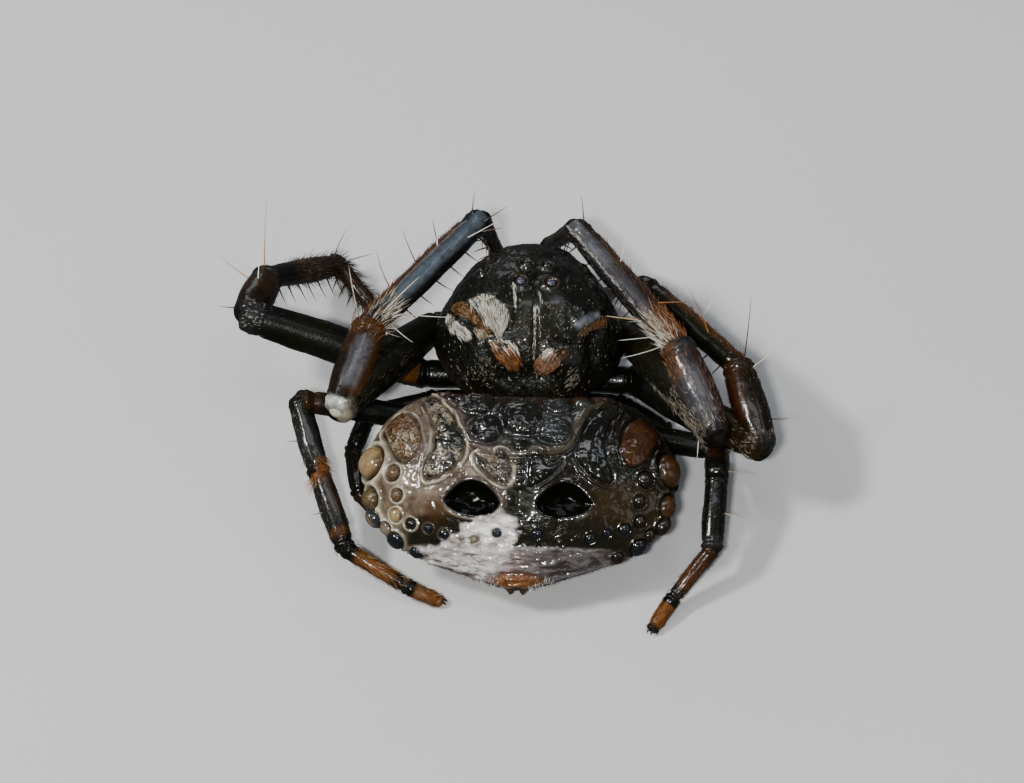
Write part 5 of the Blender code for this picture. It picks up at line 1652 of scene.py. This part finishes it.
# Patches of hair on the carapace: outline, count, length, point they are combed to, lean, two colours
CARAPACE_TUFTS = (
    (((1.45, -1.74), (1.26, -1.82), (0.91, -1.77), (0.59, -1.49), (0.35, -1.21), (0.41, -0.95),
      (0.59, -0.75), (0.75, -0.82), (0.96, -1.05), (1.19, -1.41)),
     340, 0.30, (0.62, -0.50), 0.16, WHITE, PALE),
    (((1.86, -1.82), (1.68, -1.91), (1.45, -1.69), (1.19, -1.38), (0.96, -1.05), (0.82, -0.80),
      (0.95, -0.75), (1.23, -1.05), (1.51, -1.35), (1.75, -1.53)),
     420, 0.12, (-8.0, 4.0), 0.12, HONEY, ORANGE),
    (((2.01, -1.77), (1.89, -1.74), (1.64, -1.35), (1.41, -1.05), (1.32, -0.87), (1.58, -0.97),
      (1.87, -1.30), (1.98, -1.53)),
     260, 0.20, (-3.5, 7.5), 0.12, WHITE, PALE),
    (((1.27, -1.07), (0.95, -0.87), (0.90, -0.72), (1.12, -0.77)),
     220, 0.14, (-2.0, 8.0), 0.12, CREAM, TAN),
    (((0.86, -0.65), (0.64, -0.69), (0.33, -0.60), (0.15, -0.46), (0.08, -0.31), (0.13, -0.18),
      (0.31, -0.14), (0.50, -0.24), (0.72, -0.41)),
     420, 0.19, (-3.0, 9.0), 0.14, GLOW_ORANGE, RUST),
    (((0.90, -0.70), (0.64, -0.74), (0.33, -0.64), (0.10, -0.46), (0.35, -0.50), (0.66, -0.58)),
     45, 0.30, (-3.0, 9.0), 0.16, WHITE, CREAM),
    (((-0.39, -0.36), (-0.61, -0.49), (-0.93, -0.59), (-1.14, -0.60), (-1.06, -0.44), (-0.83, -0.23),
      (-0.62, -0.11), (-0.38, -0.13), (-0.32, -0.26)),
     380, 0.19, (3.5, 9.0), 0.14, GLOW_ORANGE, RUST),
    (((-0.36, -0.38), (-0.61, -0.53), (-0.93, -0.64), (-1.16, -0.62), (-0.90, -0.52), (-0.60, -0.40)),
     45, 0.28, (3.5, 9.0), 0.16, WHITE, CREAM),
    (((-0.22, -1.42), (-0.28, -1.42), (-0.30, -0.86), (-0.29, -0.34), (-0.21, -0.34), (-0.22, -0.86)),
     170, 0.12, (-0.27, 9.0), 0.08, WHITE, PALE),
    (((0.31, -2.00), (0.26, -2.00), (0.23, -1.68), (0.22, -1.38), (0.27, -1.38), (0.30, -1.68)),
     110, 0.12, (-0.2, 9.0), 0.10, WHITE, CREAM),
    (((-0.31, -1.80), (-0.37, -1.80), (-0.44, -1.49), (-0.39, -1.49)),
     50, 0.10, (0.1, 9.0), 0.10, WHITE, TAN),
    ((*BROWN_BAND, (-1.52, -0.97)),
     330, 0.13, (2.5, 8.0), 0.12, TAN, ORANGE),
    (((1.63, -0.72), (0.93, -0.47), (0.71, -0.24), (0.83, -0.06), (1.48, -0.29), (1.75, -0.60)),
     200, 0.08, (-2.0, 9.0), 0.12, PALE, SLATE),
    (((-1.11, -0.26), (-1.37, -0.36), (-1.43, -0.21), (-1.21, -0.03), (-1.08, -0.01)),
     70, 0.12, (2.0, 9.0), 0.12, PALE, SILVER),
    (((-0.05, -0.06), (-0.83, -0.14), (-0.87, 0.07), (-0.13, 0.17)),
     90, 0.10, (-0.3, 9.0), 0.14, PALE, BROWN),
    (((0.50, -2.95), (-0.20, -2.95), (-0.10, -2.30), (0.40, -2.40)),
     40, 0.06, (0.0, 9.0), 0.12, WHITE, SILVER),
)
# Hairs that make a patch dense, and how strongly the shell under such a patch carries its colour
DENSE_PATCH = 210
UNDERPAINT = 0.25
TUFT_SCATTER = 0.14
# Short fuzz all over the carapace: hairs, range along it, share of its width, lengths, scatter, lean,
# the point it is combed to, and the share painted pale as glints
CARAPACE_FUZZ = 1500
FUZZ_RANGE = (-3.9, 0.1)
FUZZ_WIDTH = 0.97
FUZZ_LENGTHS = (0.04, 0.09)
FUZZ_SCATTER = 0.3
FUZZ_LEAN = 0.25
FUZZ_FOCUS = (0.0, 9.0)
GLINT_SHARE = 0.35
# Hairs on the abdomen: count, range along it, range of angle up from the left rim, two colours, length
ABDOMEN_HAIRS = (
    (50, (4.78, 4.97), (0.0, 0.7), WHITE, TAN, 0.14),
    (50, (4.78, 4.97), (2.45, 3.15), WHITE, TAN, 0.14),
    (420, (2.6, 4.95), (3.3, 6.1), SILVER, DARK_BROWN, 0.10),
    (260, (1.0, 4.2), (2.9, 3.5), SILVER, OLIVE, 0.09),
    (260, (1.0, 4.2), (-0.35, 0.25), SILVER, BROWN, 0.09),
)
# How they lie: which way they are combed, how far they stand off, scatter, radius
ABDOMEN_FLOW, ABDOMEN_LEAN, ABDOMEN_SCATTER, ABDOMEN_RADIUS = (0.0, 1.0, 0.1), 0.5, 0.25, 0.009


def surface_hairs(shape, x, y, focus, spread, lengths, lean, colours, draw):
    """Hairs on the carapace at places given by x and y, combed toward one point."""
    first, last = CARAPACE_ROWS[0][0], CARAPACE_ROWS[-1][0]
    angles = np.array([angle_over(CARAPACE_ROWS, py, px - HEAD_SHIFT) for px, py in zip(x, y)])
    outward = normals_at(carapace_points, y, angles)
    roots = carapace_surface(carapace_points(y, angles), outward).raised()
    flow = unit(np.stack((focus[0] - x, focus[1] - y, 0.0 * x), -1)) + draw.normal(0, spread, (len(x), 3))
    ways = unit(flow - outward * np.sum(flow * outward, 1)[:, None]) + outward * lean
    radii = (SHELL_HAIR_RADIUS[0] + SHELL_HAIR_RADIUS[1] * lengths) * draw.uniform(*RADIUS_SPREAD, len(x))
    uvs = map_share(np.stack(((y - first) / (last - first), angles / math.pi), -1))
    add_hairs(shape, roots - outward * 0.004, ways, lengths, radii, colours, uvs, -outward * 0.04)


def scatter_inside(outline, count, draw):
    """Random places inside an outline, thinner toward its edge."""
    corners = np.array(outline)
    low, high = corners.min(0), corners.max(0)
    x, y = (draw.uniform(low[k], high[k], count * 4) for k in range(2))
    depth = inside_distance(x, y, outline)
    keep = draw.uniform(0, 1, count * 4) < smoothstep(-0.02, 0.05, depth)
    return x[keep][:count], y[keep][:count]


def make_carapace_coat(materials, draw):
    """Patches of hair on the carapace, and short fuzz all over it."""
    shape = Shape()
    for outline, count, length, focus, lean, first, second in CARAPACE_TUFTS:
        x, y = scatter_inside(outline, count, draw)
        lengths = length * draw.uniform(*CARAPACE_LENGTHS, len(x))
        colours = mixed_colours(draw, first, second, len(x))
        surface_hairs(shape, x, y, focus, TUFT_SCATTER, lengths, lean, colours, draw)
    count = CARAPACE_FUZZ
    y = draw.uniform(*FUZZ_RANGE, count)
    half = np.array([blend_rows(CARAPACE_ROWS, place)[0] for place in y])
    x = HEAD_SHIFT + half * draw.uniform(-FUZZ_WIDTH, FUZZ_WIDTH, count)
    lengths = draw.uniform(*FUZZ_LENGTHS, count)
    colours = mixed_colours(draw, SOOT, SILVER, count) * draw.uniform(0.2, 1.2, (count, 1))
    # Painted glints: pale hairs, more of them toward the rear
    colours[draw.uniform(0, 1, count) < GLINT_SHARE * smoothstep(-2.6, -1.4, y)] = CREAM
    surface_hairs(shape, x, y, FUZZ_FOCUS, FUZZ_SCATTER, lengths, FUZZ_LEAN, colours, draw)
    shape.build("carapace_hairs", materials["hair"], "brown_shell", coat=True)


def make_abdomen_coat(materials, draw):
    """Fringe at the tail and scattered short hairs on the sides and the belly."""
    shape = Shape()
    for count, low, high, first, second, length in ABDOMEN_HAIRS:
        places = draw.uniform(*low, count)
        angles = draw.uniform(*high, count)
        outward = normals_at(abdomen_points, places, angles)
        roots = abdomen_points(places, angles) - outward * 0.01
        ways = outward * ABDOMEN_LEAN + np.array(ABDOMEN_FLOW) + draw.normal(0, ABDOMEN_SCATTER, (count, 3))
        lengths = length * draw.uniform(*ABDOMEN_LENGTHS, count)
        uvs = map_share(np.stack((places / TAIL_Y, (angles % TURN) / TURN), -1))
        colours = mixed_colours(draw, first, second, count)
        add_hairs(shape, roots, ways, lengths, np.full(count, ABDOMEN_RADIUS), colours, uvs, -0.15 * UP)
    shape.build("abdomen_hairs", materials["hair"], "abdomen_skin", coat=True)


# Rods: corners (x from the head's midline), radii, colour, roughness, grain, sides, rings
JAW = (
    ((0.43, -3.40, 2.45), (0.43, -3.60, 2.15), (0.43, -3.72, 1.80), (0.43, -3.80, 1.40),
     (0.43, -3.82, 1.05), (0.43, -3.80, 0.90)),
    (0.24, 0.33, 0.37, 0.35, 0.28, 0.10), SOOT, 0.2, 0.6, 28, 40,
)
FANG = (
    ((0.41, -3.80, 1.05), (0.39, -3.84, 0.82), (0.31, -3.80, 0.66), (0.21, -3.72, 0.60)),
    (0.13, 0.10, 0.06, 0.01), RUST, 0.12, 0.0, 14, 24,
)
FEELER = (
    ((0.92, -3.10, 1.36), (1.02, -3.25, 1.42), (1.22, -3.70, 1.60), (1.24, -4.00, 1.56),
     (1.14, -4.32, 1.34), (1.02, -4.58, 0.98), (0.96, -4.68, 0.74), (0.95, -4.70, 0.66)),
    (0.14, 0.19, 0.20, 0.17, 0.20, 0.20, 0.14, 0.03), DARK_BROWN, 0.3, 0.6, 24, 60,
)
BREAST_PLATE = (
    [(0.0, y, 1.26) for y in (-3.05, -2.7, -2.0, -1.35, -0.7, 0.0, 0.35)],
    (0.02, 0.30, 0.58, 0.66, 0.58, 0.30, 0.02), SOOT, 0.25, 0.6, 40, 60,
)
WAIST = (
    [(-HEAD_SHIFT / 2, y, 2.12) for y in (-0.2, 0.25, 0.65, 1.1)],
    (0.30, 0.27, 0.27, 0.30), DARK_BROWN, 0.4, 0.4, 24, 30,
)
# Middle of the spinnerets, under the tail
SPINNERET_ROOT = np.array((0.0, 4.42, 0.74))
# Paired spinnerets: reach, distance from the midline, radius
SPINNERETS = ((0.34, 0.16, 0.12), (0.26, 0.05, 0.07), (0.40, 0.13, 0.10))


def build_rods(rods, side, name, material, slot, node):
    """One small part from rods on one side of the head's midline."""
    shape = Shape()
    for corners, *rest in rods:
        rod(shape, [(HEAD_SHIFT + side * x, y, z) for x, y, z in corners], *rest)
    shape.build(name, material, slot, [node])


def make_spinnerets(materials):
    """Short cones under the tail."""
    cones = Shape()
    root = SPINNERET_ROOT
    rod(cones, [root + (0, 0, 0.1), root + (0, 0.05, -0.12), root + (0, 0.08, -0.22)],
        (0.32, 0.28, 0.24), DARK_BROWN, 0.4, 0.5, 24, 16)
    for reach, spread, radius in SPINNERETS:
        for side in (1, -1):
            start = root + (side * spread, 0.04 + reach * 0.1, -0.12)
            end = start + (side * 0.03, reach * 0.55, -reach * 0.62)
            rod(cones, [start, blend(start, end, 0.7), end], (radius, radius * 0.8, radius * 0.2),
                AMBER, 0.4, 0.5, 16, 18)
    cones.build("spinneret_cones", materials["abdomen"], "abdomen_skin", ["spinnerets"])


def make_small_parts(materials):
    """Jaws, feelers, breast plate, waist and spinnerets."""
    shell = materials["shell"]
    for name, side in SIDES:
        build_rods((JAW, FANG), side, f"jaw_{name}", shell, "black_shell", f"chelicera_{name}")
        build_rods((FEELER,), side, f"feeler_{name}", shell, "brown_shell", f"palp_{name}")
    build_rods((BREAST_PLATE,), 1, "breast_plate", shell, "black_shell", "sternum")
    build_rods((WAIST,), 1, "waist", shell, "black_shell", "pedicel")
    make_spinnerets(materials)


def feed(tree, socket, value):
    """Link an input to another node's output, or set it to a value."""
    if isinstance(value, bpy.types.NodeSocket):
        tree.links.new(value, socket)
    else:
        socket.default_value = value


def add_node(tree, kind, settings=None, **inputs):
    """Shader node with its settings, and inputs by name."""
    node = tree.nodes.new("ShaderNode" + kind)
    for key, value in (settings or {}).items():
        setattr(node, key, value)
    for key, value in inputs.items():
        feed(tree, node.inputs[key.replace("_", " ")], value)
    return node


def read_layer(tree, name, output="Fac"):
    """Output with a value painted on the mesh."""
    return add_node(tree, "Attribute", {"attribute_name": name}).outputs[output]


def cloudy(tree, place, scale, detail, rough=0.5):
    """Output of soft clouds at a place."""
    node = add_node(tree, "TexNoise", Vector=place, Scale=scale, Detail=detail, Roughness=rough)
    return node.outputs["Fac"]


def remap(tree, value, low, high, to_low, to_high):
    """Output that stretches one range of a value onto another."""
    node = add_node(tree, "MapRange", Value=value, From_Min=low, From_Max=high, To_Min=to_low, To_Max=to_high)
    return node.outputs["Result"]


def scaled(tree, vector, factor):
    """Output with a vector or colour times a factor."""
    node = add_node(tree, "VectorMath", {"operation": "SCALE"}, Scale=factor)
    feed(tree, node.inputs[0], vector)
    return node.outputs[0]


def combine(tree, operation, *values, clamp=False):
    """Output of a sum or product of values."""
    node = add_node(tree, "Math", {"operation": operation, "use_clamp": clamp})
    for socket, value in zip(node.inputs, values):
        feed(tree, socket, value)
    return node.outputs[0]


def new_material(name):
    """Material with its node tree and shader."""
    material = bpy.data.materials.new(name)
    material.use_nodes = True
    tree = material.node_tree
    return material, tree, tree.nodes["Principled BSDF"]


# Where a mix of colours takes its two colours and gives the mixed one
MIX_FIRST, MIX_SECOND, MIX_COLOUR = 6, 7, 2
# How dark the painted shade in the grooves between granules is, and how rough the clear coat is
GAP_SHADE_TONE = 0.12
COAT_ROUGHNESS = 0.07
HAIR_SPECULAR = 0.7
FLOOR_ROUGHNESS = 0.7


def skin_material(name, cell, depth, gap_shade, coat, specular):
    """Finish that reads the skin's colour, roughness and grain, with fine granules on top."""
    material, tree, shader = new_material(name)
    grain = read_layer(tree, "grain")
    place = scaled(tree, add_node(tree, "TexCoord").outputs["Object"], 1.0 / MM)
    cells = add_node(tree, "TexVoronoi", Vector=place, Scale=1.0 / cell).outputs["Distance"]
    cloud = cloudy(tree, place, 5.0, 5.0, 0.6)
    speck = cloudy(tree, place, 26.0, 3.0, 0.6)

    # Colour: painted shade between granules, and slowly varied
    groove = remap(tree, cells, 0.35, 0.75, 0.0, gap_shade)
    toned = scaled(tree, read_layer(tree, "tint", "Color"), remap(tree, cloud, 0.3, 0.7, 0.65, 1.3))
    weight = combine(tree, "MULTIPLY", groove, grain, clamp=True)
    mixed = add_node(tree, "Mix", {"data_type": "RGBA"}, Factor=weight)
    feed(tree, mixed.inputs[MIX_FIRST], toned)
    feed(tree, mixed.inputs[MIX_SECOND], scaled(tree, toned, GAP_SHADE_TONE))
    feed(tree, shader.inputs["Base Color"], mixed.outputs[MIX_COLOUR])

    # Roughness: the painted value, scuffed by the specks
    scuff = remap(tree, speck, 0.35, 0.7, -0.04, 0.12)
    feed(tree, shader.inputs["Roughness"], combine(tree, "ADD", read_layer(tree, "rough"), scuff, clamp=True))

    # Relief: granules where the grain is up, and a faint unevenness all over
    faint = combine(tree, "MULTIPLY", speck, remap(tree, grain, 0.0, 1.0, 0.05, 0.30))
    sink = combine(tree, "MULTIPLY_ADD", combine(tree, "MULTIPLY", cells, grain), -1.0, faint)
    bump = add_node(tree, "Bump", Strength=0.8, Distance=depth * MM, Height=sink)
    feed(tree, shader.inputs["Normal"], bump.outputs["Normal"])
    shader.inputs["Specular IOR Level"].default_value = specular
    shader.inputs["Coat Weight"].default_value = coat
    shader.inputs["Coat Roughness"].default_value = COAT_ROUGHNESS
    return material


def hair_material():
    """Finish of hairs: the colour of each, a soft shine and fine streaks."""
    material, tree, shader = new_material("hair")
    streak = cloudy(tree, add_node(tree, "TexCoord").outputs["Object"], 9000.0, 2.0)
    toned = scaled(tree, read_layer(tree, "tint", "Color"), remap(tree, streak, 0.3, 0.7, 0.8, 1.2))
    feed(tree, shader.inputs["Base Color"], toned)
    feed(tree, shader.inputs["Roughness"], remap(tree, streak, 0.3, 0.7, 0.22, 0.38))
    shader.inputs["Specular IOR Level"].default_value = HAIR_SPECULAR
    return material


def floor_material():
    """Pale matt finish, a little cloudy."""
    material, tree, shader = new_material("floor")
    cloud = add_node(tree, "TexNoise", Scale=40.0, Detail=3.0).outputs["Fac"]
    feed(tree, shader.inputs["Base Color"], remap(tree, cloud, 0.0, 1.0, *FLOOR_TONES))
    shader.inputs["Roughness"].default_value = FLOOR_ROUGHNESS
    return material


# Camera behind and above, as in the photograph
CAMERA_TURN = math.radians(-2.0)
CAMERA_RISE = math.radians(52.0)
CAMERA_AWAY = 160.0
CAMERA_AIM = (0.0, 0.0, 2.0)
CAMERA_LENS = 225.0
PHOTO_WIDTH = 1024
CAMERA_SHIFT = (-11 / PHOTO_WIDTH, 12.5 / PHOTO_WIDTH)
CAMERA_CLIP = (0.001, 10.0)
# Floor: half its width in millimetres, its drop in metres, and its greys
FLOOR_HALF = 400.0
FLOOR_DROP = 0.00001
FLOOR_TONES = (0.56, 0.60)


def place_back(item, target, way, away):
    """Link an object and put it away from a target along a direction, looking back at it."""
    bpy.context.scene.collection.objects.link(item)
    item.location = to_frame(np.array(target) + way * away)
    item.rotation_mode = "QUATERNION"
    item.rotation_quaternion = Vector(-way).to_track_quat("-Z", "Y")


def make_camera():
    """Camera at the photograph's angle."""
    back = np.array((math.sin(CAMERA_TURN) * math.cos(CAMERA_RISE),
                     math.cos(CAMERA_TURN) * math.cos(CAMERA_RISE), math.sin(CAMERA_RISE)))
    data = bpy.data.cameras.new("camera")
    data.lens = CAMERA_LENS
    data.shift_x, data.shift_y = CAMERA_SHIFT
    data.clip_start, data.clip_end = CAMERA_CLIP
    item = bpy.data.objects.new("camera", data)
    place_back(item, CAMERA_AIM, back, CAMERA_AWAY)
    bpy.context.scene.camera = item


# Lights: direction from the animal, distance, size, power and colour
LIGHTS = {
    "key": ((0.64, 0.10, 0.76), 170.0, (26.0, 18.0), 0.225, (1.0, 0.985, 0.96)),
    "front": ((0.06, 0.62, 0.78), 200.0, (13.0, 9.0), 0.28, (1.0, 0.99, 0.97)),
    "sky": ((0.0, -0.06, 0.998), 180.0, (120.0, 34.0), 0.060, (0.88, 0.94, 1.0)),
    "panel_left": ((-0.59, -0.21, 0.78), 200.0, (64.0, 44.0), 0.026, (0.80, 0.90, 1.0)),
    "panel_right": ((0.60, -0.25, 0.76), 200.0, (64.0, 44.0), 0.014, (0.88, 0.94, 1.0)),
    "face": ((0.25, -0.90, 0.36), 220.0, (90.0, 60.0), 0.05, (0.96, 0.98, 1.0)),
    "fill": ((-0.80, 0.30, 0.50), 220.0, (110.0, 110.0), 0.03, (1.0, 0.96, 0.90)),
}
# Colour and strength of the surrounding
WORLD = ((0.80, 0.84, 0.90), 0.12)


def make_lights():
    """Soft panels of light and a pale surrounding."""
    for name, (way, away, size, power, colour) in LIGHTS.items():
        data = bpy.data.lights.new(name, "AREA")
        data.shape = "RECTANGLE"
        data.size, data.size_y = size[0] * MM, size[1] * MM
        data.energy = power
        data.color = colour
        place_back(bpy.data.objects.new(name, data), (0.0, 0.0, 0.0), unit(way), away)
    world = bpy.data.worlds.new("world")
    world.use_nodes = True
    backdrop = world.node_tree.nodes["Background"]
    backdrop.inputs["Color"].default_value = (*WORLD[0], 1.0)
    backdrop.inputs["Strength"].default_value = WORLD[1]
    bpy.context.scene.world = world


def make_floor():
    """Plain pale floor that isn't mirrored in the shell."""
    corners = [(x * FLOOR_HALF, y * FLOOR_HALF, 0) for x, y in ((-1, -1), (1, -1), (1, 1), (-1, 1))]
    mesh = bpy.data.meshes.new("floor")
    mesh.from_pydata(to_frame(corners).tolist(), [], [(0, 1, 2, 3)])
    mesh.materials.append(floor_material())
    item = bpy.data.objects.new("floor", mesh)
    bpy.context.scene.collection.objects.link(item)
    item.location.z = -FLOOR_DROP
    item.visible_glossy = False


# Finishes: size of a granule, depth of the relief, painted shade between granules, clear coat, specular level
FINISHES = {
    "abdomen": (0.060, 0.018, 0.9, 0.80, 0.22),
    "bead": (0.060, 0.012, 0.6, 0.70, 0.30),
    "shell": (0.060, 0.016, 0.4, 0.26, 0.20),
    "thigh": (0.060, 0.020, 0.5, 0.06, 0.13),
    "eyespot": (0.050, 0.002, 0.0, 0.00, 0.08),
    "eye": (0.050, 0.002, 0.0, 0.80, 0.50),
}


def main():
    """Camera, lights and floor, then every piece, in an order that keeps the random draws."""
    materials = {name: skin_material(name, *row) for name, row in FINISHES.items()}
    materials["hair"] = hair_material()
    draw = np.random.default_rng(COAT_SEED)
    make_camera()
    make_lights()
    make_floor()
    make_abdomen(materials)
    make_carapace(materials)
    for leg in JOINTS:
        make_leg_skin(leg, materials)
        make_leg_coat(leg, materials, draw)
    make_carapace_coat(materials, draw)
    make_abdomen_coat(materials, draw)
    make_small_parts(materials)


main()
